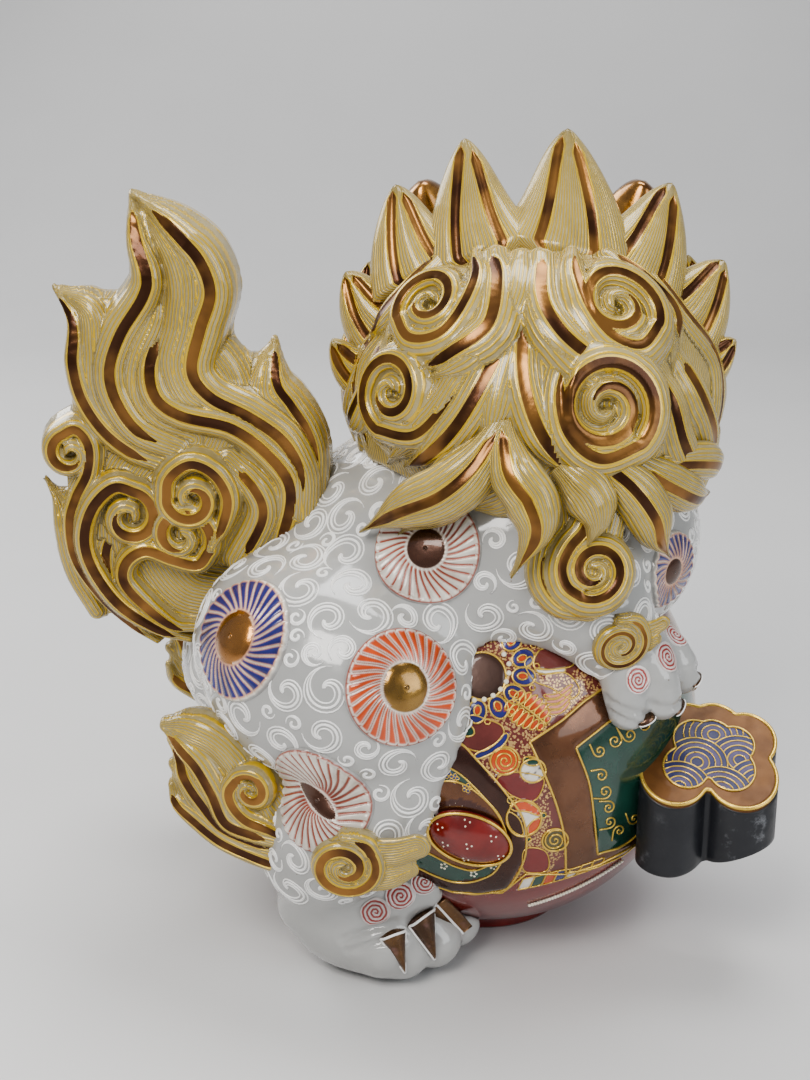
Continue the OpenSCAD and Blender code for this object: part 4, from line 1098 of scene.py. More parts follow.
def make_tail():
    size = TH - TL

    def at(*pairs):
        return [[TL[0] + size[0] * a / 100, TL[2] + size[2] * b / 100] for a, b in pairs]

    PL, LF, RF, CU, SW = 0, 1, 2, 3, 4
    st = [
        # plume: left edge, right edge, the lock between them and plain hair
        plane_strand(at((37.9, 100.7), (40.2, 92.3), (43.6, 85.6), (41.9, 81), (34, 73.5), (29.8, 66), (31.8, 59.3),
                        (38.7, 53.1), (51.5, 49.4)),
                     (9, 10.5), PL, 17, widths=[0.05, 0.5, 0.8, 0.95, 1, 1, 1, 1, 1, 0.8], stripe=2.4),
        plane_strand(at((39.7, 100.2), (46.5, 97.5), (54.6, 93.4), (61.4, 88.4), (64.3, 81.9), (60.5, 74.5),
                        (57.3, 66), (63.1, 60.5), (75.6, 56.4), (87.1, 51.1), (93.3, 43.3), (93, 34.7)),
                     (11.5, 10), PL, 17, widths=[0.1, 0.6, 0.9, 1, 1.05, 1, 0.95, 0.95, 0.9, 0.8, 0.8], stripe=2.5),
        plane_strand(at((49.8, 79.6), (48.1, 74.3), (43.4, 67.4), (44.9, 60.7), (53.3, 56.7), (70.2, 54),
                        (82.7, 47.9), (89.1, 41.3), (87.4, 32.8), (79.4, 22.1)),
                     9, PL, 18.5, widths=[0.1, 0.75, 1, 1, 1, 1, 1, 0.9, 0.9, 0.8], stripe=2.4),
        plane_strand(at((40.8, 98.2), (48.3, 93.4), (53.6, 88.4), (55.5, 82.9), (54, 75.4), (50.9, 67.4),
                        (55.1, 60.2), (66, 55.9)), 9, PL, 17, widths=[0.1, 0.7, 1, 1, 1, 1, 1, 0.8], stripe=0),
        plane_strand(at((90.6, 38.6), (92.2, 32.7), (87.9, 26.2), (79.6, 19.5)), 9, PL, 15, stripe=0,
                     widths=[0.7, 1, 1, 0.8]),
        # left flame
        plane_strand(at((10.1, 81.3), (17.3, 75.1), (17.2, 66.8), (19.8, 59.4), (26.6, 52.6), (36, 47.9),
                        (45.6, 45.6)), (9, 5.5), LF, 14, widths=[0.06, 0.7, 1, 1.1, 1.2, 1.3, 1.2], stripe=2.2),
        plane_strand(at((12.9, 80.7), (23.2, 77.6), (24.8, 70.3), (24.7, 62.7), (28, 56.9), (36.7, 51),
                        (47.3, 46.9)), 8.5, LF, 14.5, widths=[0.15, 0.85, 1, 1, 1, 1, 0.9], stripe=0),
        # right flame
        plane_strand(at((84.2, 70.3), (85, 62.5), (89.8, 58), (94.8, 53), (97.3, 47.6), (97.1, 38.8)),
                     (7, 8), RF, 13, widths=[0.12, 0.75, 1, 1, 1, 1], stripe=1.9),
        plane_strand(at((83.6, 69.6), (80.4, 64.6), (80.2, 59.6), (85.6, 55.5), (91.6, 48.6), (93.5, 40.5)), 7.5,
                     RF, 12.5, widths=[0.12, 0.8, 1.1, 1.1, 1.1, 1], stripe=0),
        plane_strand(at((45.5, 84), (45, 77), (39, 68.5), (37.5, 60.5), (44, 54), (56, 51)), 8, PL, 16.5,
                     widths=[0.5, 1, 1, 1, 1, 0.9], stripe=0),
        plane_strand(at((42, 97), (44.5, 90), (46, 83)), 6, PL, 16, widths=[0.4, 1, 1], stripe=0),
        # curls, from the right
        plane_strand(at((67.9, 46.7), (77, 41.1), (79.7, 34.7), (71.8, 24.9)), 9.5, CU, 19, widths=[0.7, 1, 1, 1],
                     stripe=2.0, fade=(0.1, 0.95)),
        plane_spiral(at((61.8, 28.3), (65.9, 33.2), (67.9, 39.2), (63.5, 44.5), (55.8, 46.6), (48.5, 43.5),
                        (47.2, 38.5)), at((55.5, 38.9))[0], 1.05, 1, 5.4, 8.0, CU, 21, stripe=2.1),
        plane_spiral(at((55.9, 9.5), (47.4, 10.3), (38.5, 14.7), (31.3, 20.3), (32.4, 25), (39.2, 27.5),
                        (48.4, 25.5), (56.8, 24.4), (61.2, 27.6)),
                     at((51.6, 30.5))[0], 1.15, 1, 5.4, 7.0, CU, 20, stripe=2.2),
        plane_spiral(at((52.7, 7.1), (42.4, 9.2), (29.5, 14.7), (21.1, 22.3), (18.2, 29.5), (21.5, 36.6),
                        (29.4, 41.2), (37.7, 39.9)), at((33.9, 34.5))[0], 1.1, -1, 5.4, 7.0, CU, 18.5, stripe=2.3),
        plane_strand(at((33.6, 29.1), (27.2, 29.3), (24.5, 24.9), (26.3, 17.6), (34.3, 10.3)), 7.5, CU, 15.5,
                     widths=[0.5, 0.9, 1, 1, 1], stripe=1.9),
        # sweep under the root with its own small curl and flame
        plane_spiral(at((40.7, 5.6), (33.3, 8.9), (23.2, 15.2), (14.4, 23.9), (12.7, 32.3), (15.3, 38.1),
                        (19.9, 43.7), (20.8, 49.4), (16.8, 53), (11.2, 51.6)), at((14.3, 47.7))[0], 1.0, 1, 4.6,
                        6.5, SW, 13.5, stripe=2.0),
        plane_strand(at((3.1, 40.1), (6.9, 35.5), (8.8, 28.8), (12.3, 19.5), (19.2, 11.1)), (5, 5.5), SW, 11,
                     widths=[0.08, 0.7, 1, 1, 1], stripe=0),
        # plain hair behind the curls
        plane_strand(at((69.5, 12.5), (48.5, 14.6), (36.1, 27), (40.9, 41.2), (58.3, 49.2), (62.7, 61),
                        (52.4, 72.5), (49.4, 81.9)), 22, SW, 13.5, rise=2.0,
                     widths=[0.8, 1, 1, 1, 1, 0.95, 0.75, 0.5], stripe=0),
    ]
    plane_relief(st, (0, TAIL_Y, 0), (1, 0, 0), (0, 0, 1),
                 {PL: ("tail_plume_flame", "tail_plume"), LF: ("tail_left_flame", "tail_flame_left"),
                  RF: ("tail_right_flame", "tail_flame_right"), CU: ("tail_spiral_curls", "tail_curls"),
                  SW: ("tail_root_sweep", "tail_sweep")})


make_tail()

# ---------------------------------------------------------------- tufts, beard, brows, ears
def free_lock(bag, points, normal, w, h, stripes, n, both=False):
    p = resample(curve(points, 12), n)
    k = taper(n, 0.7, 0.04, 0.35)
    nor = np.asarray(normal, float)
    if nor.ndim == 2:
        nor = resample(curve(nor, 12), n)
    lock_mesh(bag, p, np.broadcast_to(nor, p.shape), w * k, h * (0.3 + 0.7 * k), stripes, nu=26, both=both)


def side_point(q, s, dx=0.0, dy=0.0):
    return arr(q[0] + (dx if s > 0 else 0), s * (abs(q[1]) + (dy if s > 0 else 0)), q[2])


def make_tufts():
    for s, side in ((-1, "right"), (1, "left")):
        # hock flames stand in a plane that runs back and a little in
        o = side_point((-100, -77, 0), s, FAR_BACK) + arr(0, 0, 2.5)
        e1 = unit(arr(1, s * 0.30, 0))
        st = [plane_strand([(-45, 116), (-35, 110), (-27, 103), (-20, 91), (-14, 78), (-2, 74), (10, 72)], (9, 6.5),
                           0, 9, 3.5, widths=[0.2, 0.9, 1, 1, 1, 1, 0.9], stripe=2.3),
              plane_strand([(-43, 110), (-37, 103), (-34, 95), (-27, 85), (-17, 74), (-2, 69), (12, 67)], (6.5, 6),
                           0, 9, 3.5, widths=[0.2, 0.85, 1, 1, 1, 1, 0.9], stripe=2.2),
              plane_strand([(-43, 88), (-40, 81), (-31, 75), (-17, 66), (2, 60), (14, 58)], (7, 6.5), 0, 8, 3.5,
                           widths=[0.25, 0.9, 1, 1, 1, 0.9], stripe=1.9),
              plane_strand([(-44, 117), (-32, 118), (-20, 114), (-10, 104), (-4, 92)], 8.5, 0, 7.5, 3.0,
                           widths=[0.35, 1, 1, 1, 1], stripe=0),
              plane_strand([(-42, 98), (-35, 90), (-24, 79), (-8, 68)], 7, 0, 7, 2, widths=[0.3, 1, 1, 1],
                           stripe=0),
              plane_strand([(-14, 110), (-2, 102), (8, 90), (14, 76)], 8, 0, 5, 2, stripe=0),
              plane_spiral([(16, 74), (6, 78), (-4, 81), (-10, 87), (-11.5, 94), (-7, 101)], (-1.8, 95.5), 1.2, -1,
                           4.6, 6.0, 0, 10, 3.5, stripe=2.0)]
        plane_relief(st, o, e1, (0, 0, 1), {0: (f"hock_flames_{side}", f"tuft_hock_{side}")}, 0.9)

        for name, node, q, spots, w, stripe, thick in (
                ("ankle", "tuft_ankle", (-63, -106, 77), [(1, 15.5), (6, 14.2), (10.5, 11), (12.6, 6.5)], 5.6, 2.0,
                 3.0),
                ("wrist", "tuft_wrist", (53, -88, 166), [(0, 12.5), (5, 11.4), (8.4, 8.8), (10, 5.2)], 4.4, 0.8,
                 1.6)):
            c, nn = on_skin(side_point(q, s, FAR_BACK if name == "ankle" else 0))
            e1 = unit(arr(1, 0, 0.06) - nn * (arr(1, 0, 0.06) @ nn))
            e2 = np.cross(nn, e1)
            if e2[2] < 0:
                e2 = -e2
            k = 1.0 if name == "ankle" else 0.62
            st = [plane_spiral(spots, (0, 0), 1.7, -1, w, w * 0.8, 0, thick, 2.2, stripe=stripe, gap=1.3),
                  plane_strand([(31 * k, 9 * k), (22 * k, 6 * k), (12 * k, 6 * k), (0, 9 * k)], 7.5 * k, 0,
                               thick * 0.7, 1.0, stripe=0, widths=[0.8, 1, 1, 0.8], gap=1.3),
                  plane_strand([(27 * k, -3 * k), (19 * k, -6 * k), (8 * k, -7 * k)], 8 * k, 0, thick * 0.6, 1.0,
                               stripe=0, widths=[0.5, 1, 1], gap=1.3)]
            plane_relief(st, c - nn * 0.3, e1, e2, {0: (f"{name}_swirl_{side}", f"{node}_{side}")}, 0.75)


def make_face_hair():
    bag = Bag()
    for i, dx in enumerate((-26, -13, 0, 13, 26)):
        drop = 62 + (0, 8, 12, 8, 0)[i]
        y0 = HY + 58 - abs(dx) * 0.5
        path = [(HX + dx * 0.8, y0 + 8, HZ - 58), (HX + dx * 1.05, y0 + 13, HZ - 72),
                (HX + dx * 0.9, y0 + 11, HZ - 84), (HX + dx * 1.15, y0 + 5, HZ - 98 - (drop - 62) * 0.5)]
        free_lock(bag, path, arr(dx * 0.02, 1.0, 0.12), 8.5, 7, [(0, 1.6, 0.08, 0.94)], n=46, both=True)
    bag.make("beard_locks", ["beard"], "gilt_hair", [M_HAIR])

    bag = Bag()
    for s in (-1, 1):
        path = [(HX + s * 5, HY + 68, HZ + 16), (HX + s * 17, HY + 67, HZ + 27), (HX + s * 34, HY + 57, HZ + 30),
                (HX + s * 50, HY + 38, HZ + 38)]
        free_lock(bag, path, [(0, 1, 0.2), (s * 0.2, 1, 0.4), (s * 0.5, 1, 0.5), (s * 0.7, 0.8, 0.5)], 8, 7,
                  [(0, 1.7, 0.08, 0.94)], n=60)
        path = [(HX + s * 16, HY + 68, HZ + 22), (HX + s * 32, HY + 58, HZ + 22), (HX + s * 44, HY + 46, HZ + 28),
                (HX + s * 55, HY + 33, HZ + 30)]
        free_lock(bag, path, [(0, 1, 0.2), (s * 0.3, 1, 0.2), (s * 0.6, 1, 0.2), (s * 0.8, 0.8, 0.3)], 6, 6,
                  [(0, 1.4, 0.08, 0.9)], n=50)
    bag.make("flame_brows", ["brows"], "gilt_hair", [M_HAIR])

    for s, side in ((-1, "right"), (1, "left")):
        bag = Bag()
        n, m = 44, 28
        spine = resample(curve([(HX + s * 32, HY + 18, HZ + 44), (HX + s * 42, HY + 22, HZ + 62),
                                (HX + s * 49, HY + 24, HZ + 78), (HX + s * 52, HY + 25, HZ + 90)], 10), n)
        t = np.linspace(0, 1, n)
        w = 17 * np.sqrt(np.clip(np.sin(math.pi * (0.16 + 0.84 * t)), 0, 1)) + 0.3
        side_v = unit(arr(1, -0.25 * s, -0.5 * s))
        face = unit(np.cross(side_v, unit(spine[-1] - spine[0])))
        face = face if face[1] > 0 else -face
        u = np.linspace(-1, 1, m)
        base = spine[:, None] + side_v * (w[:, None] * u)[..., None]
        cup = (7.5 * np.sqrt(w / 17))[:, None] * (1 - u ** 2)
        thick = (3.6 * (1 - u ** 4) + 0.2) * (np.minimum(1, w / 6))[:, None]
        rib = 0.7 * np.cos(u * 9)[None] * (1 - t)[:, None]
        back = base - face * (cup + thick)[..., None]
        front = base - face * (cup - thick + rib)[..., None]
        ring = np.concatenate([back, front[:, 1:-1][:, ::-1]], 1)
        k = ring.shape[1]
        v = np.vstack([ring.reshape(-1, 3), spine[:1] - face * 4, spine[-1:]])
        mesh_object(f"ear_{side}_cup", v, capped(n, k), [f"ear_{side}"], [M_COPPER])


make_tufts()
make_face_hair()


# ---------------------------------------------------------------- painted surfaces
def painted(name, coat, stipple=False):
    """Enamel whose colour, metal, roughness and stipple come from the mesh."""
    n = Net(name)
    c = n.mix(n.step(n.noise(6.0, 5.0, 0.62), 0.34, 0.68, 0.0, 0.55), n.attr("paint", "Color"), (0.42, 0.36, 0.34),
              "MULTIPLY")
    metal, rough = n.attr("metal"), n.attr("rough")
    h = n.math("MULTIPLY", n.noise(24.0, 3.0), 0.6)
    if stipple:
        v = n.texture("TexVoronoi", 88)
        dots = n.math("MULTIPLY", n.step(v, 0.42, 0.52, 1.0, 0.0), n.step(n.attr("stipple"), 0.4, 0.6))
        c = n.mix(dots, c, (0.60, 0.38, 0.15))
        metal = n.lerp(dots, metal, 0.35)
        h = n.math("ADD", h, n.math("MULTIPLY", dots, 0.7))
    n.bump(h, 0.3, 0.5)
    return n.set(c, n.math("ADD", rough, n.step(n.noise(16.0), 0.3, 0.7, 0.0, 0.09)), metal, coat, 0.05)


M_BALL = painted("brocade_enamel", 0.7, True)
M_KIKU = painted("chrysanthemum_enamel", 0.6)
M_KNOT = painted("knot_enamel", 0.08)

DARK_COPPER = (0.17, 0.075, 0.036)
BROWN = (0.066, 0.024, 0.015)
DK_RED = (0.19, 0.016, 0.014)
MAROON = (0.155, 0.034, 0.028)
ORANGE = (0.61, 0.090, 0.020)
BLUE = (0.026, 0.030, 0.20)
GREEN = (0.010, 0.060, 0.040)
IVORY = (0.78, 0.74, 0.66)
SALMON = (0.72, 0.40, 0.26)
RED_BROWN = (0.36, 0.070, 0.035)


BRIGHT_BOSS, OLIVE_BOSS, DARK_BOSS = (0.44, 0.205, 0.06), (0.33, 0.195, 0.055), (0.085, 0.034, 0.018)


def kiku(node, petal, outline, gap, boss, boss_turn, petals, metal_tone):
    """A raised chrysanthemum lying on the skin under its CAD medallion."""
    lo, hi = cad_box(node)
    c, n = on_skin((lo + hi) / 2)
    size = hi - lo
    # the disc's radius from its box: a tilted disc spans 2 r sqrt(1 - n_i^2) along axis i
    r = float(np.median([size[i] / (2 * math.sqrt(max(1 - n[i] ** 2, 0.2))) for i in range(3)]))
    r = min(r, max(size) / 2) * (1.1 if node.startswith(("kiku_hip", "kiku_shank")) else 0.99)
    e1 = unit(np.cross(arr(0, 0, 1), n))
    e2 = np.cross(n, e1)
    na, nr = petals * 14, 42
    rho = np.concatenate([np.linspace(0, 0.98, nr - 4), [1.0, 1.012, 1.018, 1.02]])
    th = np.linspace(0, 2 * math.pi, na, endpoint=False)
    R, TH = np.meshgrid(rho, th, indexing="ij")
    bx, by = boss
    bt = math.radians(boss_turn)
    ca, sa = np.cos(TH - bt), np.sin(TH - bt)
    b_r = 1 / np.sqrt((ca / bx) ** 2 + (sa / by) ** 2)
    q = np.clip((R - b_r) / (1 - b_r), 0, 1)
    phase = (TH + 0.42 * (1 - q) ** 1.6) * petals / (2 * math.pi)
    f = phase - np.floor(phase)
    wide = 2 * math.pi * np.maximum(R, 0.05) * r / petals
    d_side = np.minimum(f, 1 - f) * wide
    tip = 0.965 - 0.10 * np.clip(np.abs(f - 0.5) * 2 - 0.55, 0, 1) ** 2
    d_tip = (tip - R) * r
    in_boss = R < b_r
    d_boss = (R - b_r) * r
    g = 0.46 if petal is IVORY else 0.16             # half the gap between two petals
    line_side = np.exp(-((d_side - g - 0.32) / 0.27) ** 2)
    line_tip = np.exp(-((d_tip - 0.35) / 0.36) ** 2)
    line_boss = np.exp(-((d_boss - 0.55) / 0.62) ** 2) * (d_boss > -0.3)
    line = np.clip(np.maximum(np.maximum(line_side * (d_boss > 0) * (d_tip > 0), line_tip), line_boss), 0, 1)
    inside = (d_side > g + 0.15) & (d_tip > 0.3) & (d_boss > 0.3)
    col = np.where(inside[..., None], petal, gap)
    shade = 1 - 0.25 * np.clip(1 - (f - 0.15) / 0.5, 0, 1)
    col = col * np.where(inside, shade, 1.0)[..., None]
    col = col * (1 - line[..., None]) + np.asarray(outline) * line[..., None]
    boss_m = in_boss & (line < 0.4)
    col = np.where(boss_m[..., None], arr(*metal_tone), col)
    metal = np.where(boss_m, 0.5 if metal_tone is DARK_BOSS else 0.92, 0.0)
    rough = np.where(boss_m, 0.22, 0.14)
    dome = 1 - (R / np.maximum(b_r, 1e-3)) ** 2
    puff = np.sin(np.clip((d_side - g) / np.maximum(wide / 2 - g, 0.2), 0, 1) * math.pi / 2)
    boss_high = 0.9 if metal_tone is DARK_BOSS else 2.0
    h = 1.3 + np.where(in_boss, boss_high * np.sqrt(np.clip(dome, 0, 1)) + 0.2, 0.75 * puff * smooth(q, 0, 0.15))
    h = h + 0.45 * line
    h = np.where(R > 0.99, np.array([0.9, 0.4, -0.2, -1.0])[np.clip(np.searchsorted(rho[-4:], R - 1e-6), 0, 3)], h)
    flat = c + (np.cos(TH) * R * r)[..., None] * e1 + (np.sin(TH) * R * r)[..., None] * e2
    pts = np.empty_like(flat)
    nrm = np.empty_like(flat)
    step_a = 7
    # the skin is read on a coarse polar grid and filled in between
    coarse = np.arange(0, na, step_a)
    for i in range(len(rho)):
        for j in coarse:
            o = flat[i, j] + n * 24
            hit, _, face, _ = skin.ray_cast(Vector(o), Vector(-n), 60)
            if hit is None:
                hit, _, face, _ = skin.find_nearest(Vector(flat[i, j]))
            pts[i, j] = hit
            nrm[i, j] = BN[BQ[face]].mean(0)
    idx = np.arange(na)
    k0 = (idx // step_a) * step_a
    k1 = (k0 + step_a) % na
    w = ((idx % step_a) / step_a)[None, :, None]
    depth = ((pts - flat) @ n)
    depth = depth[:, k0] * (1 - w[..., 0]) + depth[:, k1] * w[..., 0]
    for _ in range(2):
        depth[1:-1] = (depth[:-2] + 2 * depth[1:-1] + depth[2:]) / 4
    depth[:4] = depth[:4].mean()
    nn = unit(nrm[:, k0] * (1 - w) + nrm[:, k1] * w)
    nn = unit(0.5 * nn + 0.5 * n)
    base = flat + n * depth[..., None]
    top = base + nn * h[..., None]
    low = base[-1] - n * 3.5
    v = np.vstack([top.reshape(-1, 3), low, low.mean(0)[None] - n * 1.0])
    faces = grid_faces(len(rho), na)[na:].tolist()
    faces += [[0, na + i, na + (i + 1) % na] for i in range(na)]
    m = len(rho) * na
    last = (len(rho) - 1) * na
    faces += [[last + i, last + (i + 1) % na, m + (i + 1) % na, m + i] for i in range(na)]
    faces += [[m + i, m + (i + 1) % na, m + na] for i in range(na)]
    # the first ring is one point
    v[:na] = v[:na].mean(0)
    keep = np.r_[0, np.arange(na, len(v))]
    remap = np.zeros(len(v), int)
    remap[keep] = np.arange(len(keep))
    faces = [[int(remap[i]) for i in q] for q in faces]
    grow = len(v) - m
    col[R > 0.995] = WHITE
    colours = np.vstack([col.reshape(-1, 3), np.tile(arr(*WHITE), (grow, 1))])[keep]
    fl = {"metal": np.r_[metal.ravel(), np.zeros(grow)][keep],
          "rough": np.r_[rough.ravel(), np.full(grow, 0.3)][keep]}
    mesh_object(node + "_petals", v[keep], flipped(faces), [node], [M_KIKU], floats=fl,
                colours={"paint": colours})
    return c, r


KIKU_SPOTS = []
for node, petal, outline, gap, boss, turn, tone in (
        ("kiku_hip_right", BLUE, SALMON, IVORY, (0.40, 0.43), 0, BRIGHT_BOSS),
        ("kiku_thigh_right", ORANGE, IVORY, RED_BROWN, (0.39, 0.41), 0, OLIVE_BOSS),
        ("kiku_shank_right", IVORY, IVORY, RED_BROWN, (0.48, 0.17), -32, DARK_BOSS),
        ("kiku_shoulder_right", IVORY, IVORY, RED_BROWN, (0.36, 0.36), 0, DARK_BOSS),
        ("kiku_breast_right", BLUE, SALMON, IVORY, (0.34, 0.34), 0, DARK_BOSS),
        ("kiku_hip_left", ORANGE, IVORY, RED_BROWN, (0.40, 0.42), 0, OLIVE_BOSS),
        ("kiku_thigh_left", BLUE, SALMON, IVORY, (0.40, 0.41), 0, BRIGHT_BOSS),
        ("kiku_shoulder_left", IVORY, IVORY, RED_BROWN, (0.36, 0.36), 0, DARK_BOSS)):
    KIKU_SPOTS.append(kiku(node, petal, outline, gap, boss, turn, 24 if "breast" in node else 32, tone))


def toe_spirals():
    bag_v, bag_f, bag_c = [], [], []
    count = 0
    spots = []
    for s in (-1, 1):
        for q, r in (((-51, -93, 41), 6.8), ((-40, -91, 48), 6.8), ((-29, -90, 55), 6.6)):
            spots.append((side_point(q, s, FAR_BACK, FAR_OUT), r))
        for q, r in (((61, -86, 150), 6.2), ((76, -78, 158), 6.8), ((83, -64, 167), 6.2)):
            spots.append((side_point(q, s), r))
    for q, r in spots:
        c, n = on_skin(q)
        e1 = unit(np.cross(arr(0, 0, 1), n))
        e2 = np.cross(n, e1)
        na, nr = 96, 24
        rho = np.concatenate([np.linspace(0.03, 0.97, nr - 2), [1.0, 1.03]])
        th = np.linspace(0, 2 * math.pi, na, endpoint=False)
        R, TH = np.meshgrid(rho, th, indexing="ij")
        turn = R * 3.6 - TH / (2 * math.pi)
        f = np.abs((turn % 1.0) - 0.5) * 2
        white = smooth(f, 0.42, 0.60)
        white = np.maximum(white, smooth(R, 0.90, 0.94))
        col = white[..., None] * arr(0.74, 0.70, 0.68) + (1 - white[..., None]) * arr(0.40, 0.05, 0.04)
        h = np.where(R > 1.01, -0.6, 0.35 + 0.35 * white)
        pts = np.array([[on_skin(c + e1 * math.cos(t) * p * r + e2 * math.sin(t) * p * r)[0] for t in th[::6]]
                        for p in rho])
        k0 = np.arange(na) // 6
        k1 = (k0 + 1) % len(th[::6])
        w = ((np.arange(na) % 6) / 6)[None, :, None]
        top = pts[:, k0] * (1 - w) + pts[:, k1] * w + n * h[..., None]
        low = top[-1] - n * 1.5
        v = np.vstack([top.reshape(-1, 3), low, c[None] + n * 0.5, c[None] - n * 2])
        fs = (grid_faces(nr, na)[:, ::-1]).tolist()
        m = nr * na
        fs += [[(nr - 1) * na + i, m + i, m + (i + 1) % na, (nr - 1) * na + (i + 1) % na] for i in range(na)]
        fs += [[m + na, (i + 1) % na, i][::-1] for i in range(na)]
        fs += [[m + na + 1, m + (i + 1) % na, m + i] for i in range(na)]
        bag_v.append(v)
        bag_f += [[int(i) + count for i in qd] for qd in fs]
        bag_c.append(np.vstack([col.reshape(-1, 3), np.tile(arr(0.4, 0.1, 0.08), (len(v) - m, 1))]))
        count += len(v)
    v = np.vstack(bag_v)
    mesh_object("toe_spirals", v, bag_f, [], [M_KIKU], colours={"paint": np.vstack(bag_c)},
                floats={"metal": np.zeros(len(v)), "rough": np.full(len(v), 0.15)})
    return spots


TOE_SPOTS = toe_spirals()


# ---------------------------------------------------------------- karakusa scrolls
def scroll_lines(size, hand, a0):
    """The middle line of one comma scroll in its own plane, its half width and its share of the length."""
    t = np.linspace(0, 1, 30)
    ang = a0 + hand * (math.radians(430) * t)
    rad = size * np.interp(t, [0, 0.25, 0.5, 0.75, 1.0], [1.28, 1.02, 0.90, 0.52, 0.16])
    c = np.stack([rad * np.cos(ang), rad * np.sin(ang)], 1)
    c -= c.mean(0) * 0.4
    w = size * 0.25 * smooth(t, 0.02, 0.35) * (1 - 0.75 * smooth(t, 0.62, 1.0))
    return c, w, t


CELL = 18                                        # side of the boxes that find a scroll's neighbours


def make_scrolls():
    skip_tags = {T["hind_paw_right"], T["hind_paw_left"], T["fore_paw_right"], T["fore_paw_left"], T["muzzle"],
                 T["lower_jaw"]}
    order = list(range(len(BQ)))
    rng.shuffle(order)
    cell = {}
    placed = []

    def clear(p, gap):
        k = tuple((p // CELL).astype(int))
        for dx in (-1, 0, 1):
            for dy in (-1, 0, 1):
                for dz in (-1, 0, 1):
                    for q, g in cell.get((k[0] + dx, k[1] + dy, k[2] + dz), ()):
                        if np.sum((p - q) ** 2) < ((gap + g) / 2) ** 2:
                            return False
        return True

    fn = BN[BQ].mean(1)
    quiet = [(c, r + 1.0) for c, r in KIKU_SPOTS] + [(on_skin(q)[0], r + 4) for q, r in TOE_SPOTS]
    for gap, size in ((17.5, 7.4), (11.5, 4.5), (8.0, 2.9)):
        for i in order:
            p = centres[i]
            if int(face_tag[i]) in skip_tags or p[2] < 50:
                continue
            if np.linalg.norm(p - BALL) < BALL_R + 2.5:
                continue
            q = (p - MANE) / MANE_R
            if q @ q < 0.93:
                continue
            if face_tag[i] == T["head"] and p[1] > HY + 40 and p[2] < HZ + 24 and abs(p[0] - HX) < 44:
                continue
            if any(np.linalg.norm(p - c) < r + size * 0.9 for c, r in quiet):
                continue
            if not clear(p, gap):
                continue
            cell.setdefault(tuple((p // CELL).astype(int)), []).append((p, gap))
            placed.append((i, size * rng.uniform(0.88, 1.1)))
    groups = {"torso": Bag(), "haunches": Bag(), "legs": Bag(), "head": Bag()}
    ring = np.array([[-1, -0.9], [-0.55, 0.75], [0.55, 0.75], [1, -0.9]])
    for i, size in placed:
        p, n = centres[i], unit(fn[i])
        e1 = unit(np.cross(n, arr(rng.gauss(0, 1), rng.gauss(0, 1), rng.gauss(0, 1))))
        e2 = np.cross(n, e1)
        hand = rng.choice((-1, 1))
        c, w, t = scroll_lines(size, hand, rng.uniform(0, 2 * math.pi))
        name = PARTS[int(face_tag[i])]
        bag = groups["torso" if name == "torso" else "head" if name == "head" else
                     "haunches" if name.startswith("haunch") else "legs"]
        sk, skn = [], []
        bad = False
        for a in c:
            loc, nor, _, dist = skin.find_nearest(Vector(p + e1 * a[0] + e2 * a[1]))
            bad = bad or dist > 4.5
            sk.append(loc)
            skn.append(nor)
        if bad:
            continue
        sk, skn = np.array(sk), unit(np.array(skn))
        tan = unit(np.gradient(sk, axis=0))
        sd = unit(np.cross(skn, tan))
        small = size < 3.4
        for off, half, high in ((-1, 0.46, 0.50), (1, 0.46, 0.50), (0, 0.74, 0.66)):
            if small and off == -1:
                continue
            mid = sk + sd * (off * w)[:, None]
            k = half * (0.45 + 0.55 * smooth(t, 0.0, 0.12)) * (1 - 0.35 * smooth(t, 0.93, 1.0))
            if off == 0:
                k = k * smooth(t, 0.06, 0.3)
            a0 = 0 if off else 3
            v = (mid[:, None] + sd[:, None] * (k[:, None] * ring[:, 0])[..., None]
                 + skn[:, None] * (high * ring[:, 1] * np.minimum(1, k[:, None] / half + 0.2))[..., None])[a0:]
            rows = len(v)
            f = grid_faces(rows, 4)
            ends = np.array([[3, 2, 1, 0], [(rows - 1) * 4, (rows - 1) * 4 + 1, (rows - 1) * 4 + 2,
                                            (rows - 1) * 4 + 3]])
            bag.add(v.reshape(-1, 3), np.vstack([f, ends]))
    for key, bag in groups.items():
        if bag.n:
            bag.make(f"karakusa_scrolls_{key}", [], "ivory_enamel", [M_SCROLL])


make_scrolls()


# ---------------------------------------------------------------- ball
VIEW_UP = arr(0, math.sin(math.radians(VIEW_TILT)), math.cos(math.radians(VIEW_TILT)))
VIEW_BACK = arr(0, -math.cos(math.radians(VIEW_TILT)), math.sin(math.radians(VIEW_TILT)))


def on_ball(ab, face):
    """Chart point (across, up) to the ball, on the near (1) or far (-1) half."""
    ab = np.asarray(ab, float)
    k = np.sqrt(np.maximum(BALL_R ** 2 - ab[..., 0] ** 2 - ab[..., 1] ** 2, 1.0))
    d = ab[..., :1] * arr(1, 0, 0) + ab[..., 1:2] * VIEW_UP + face * k[..., None] * VIEW_BACK
    return BALL + d


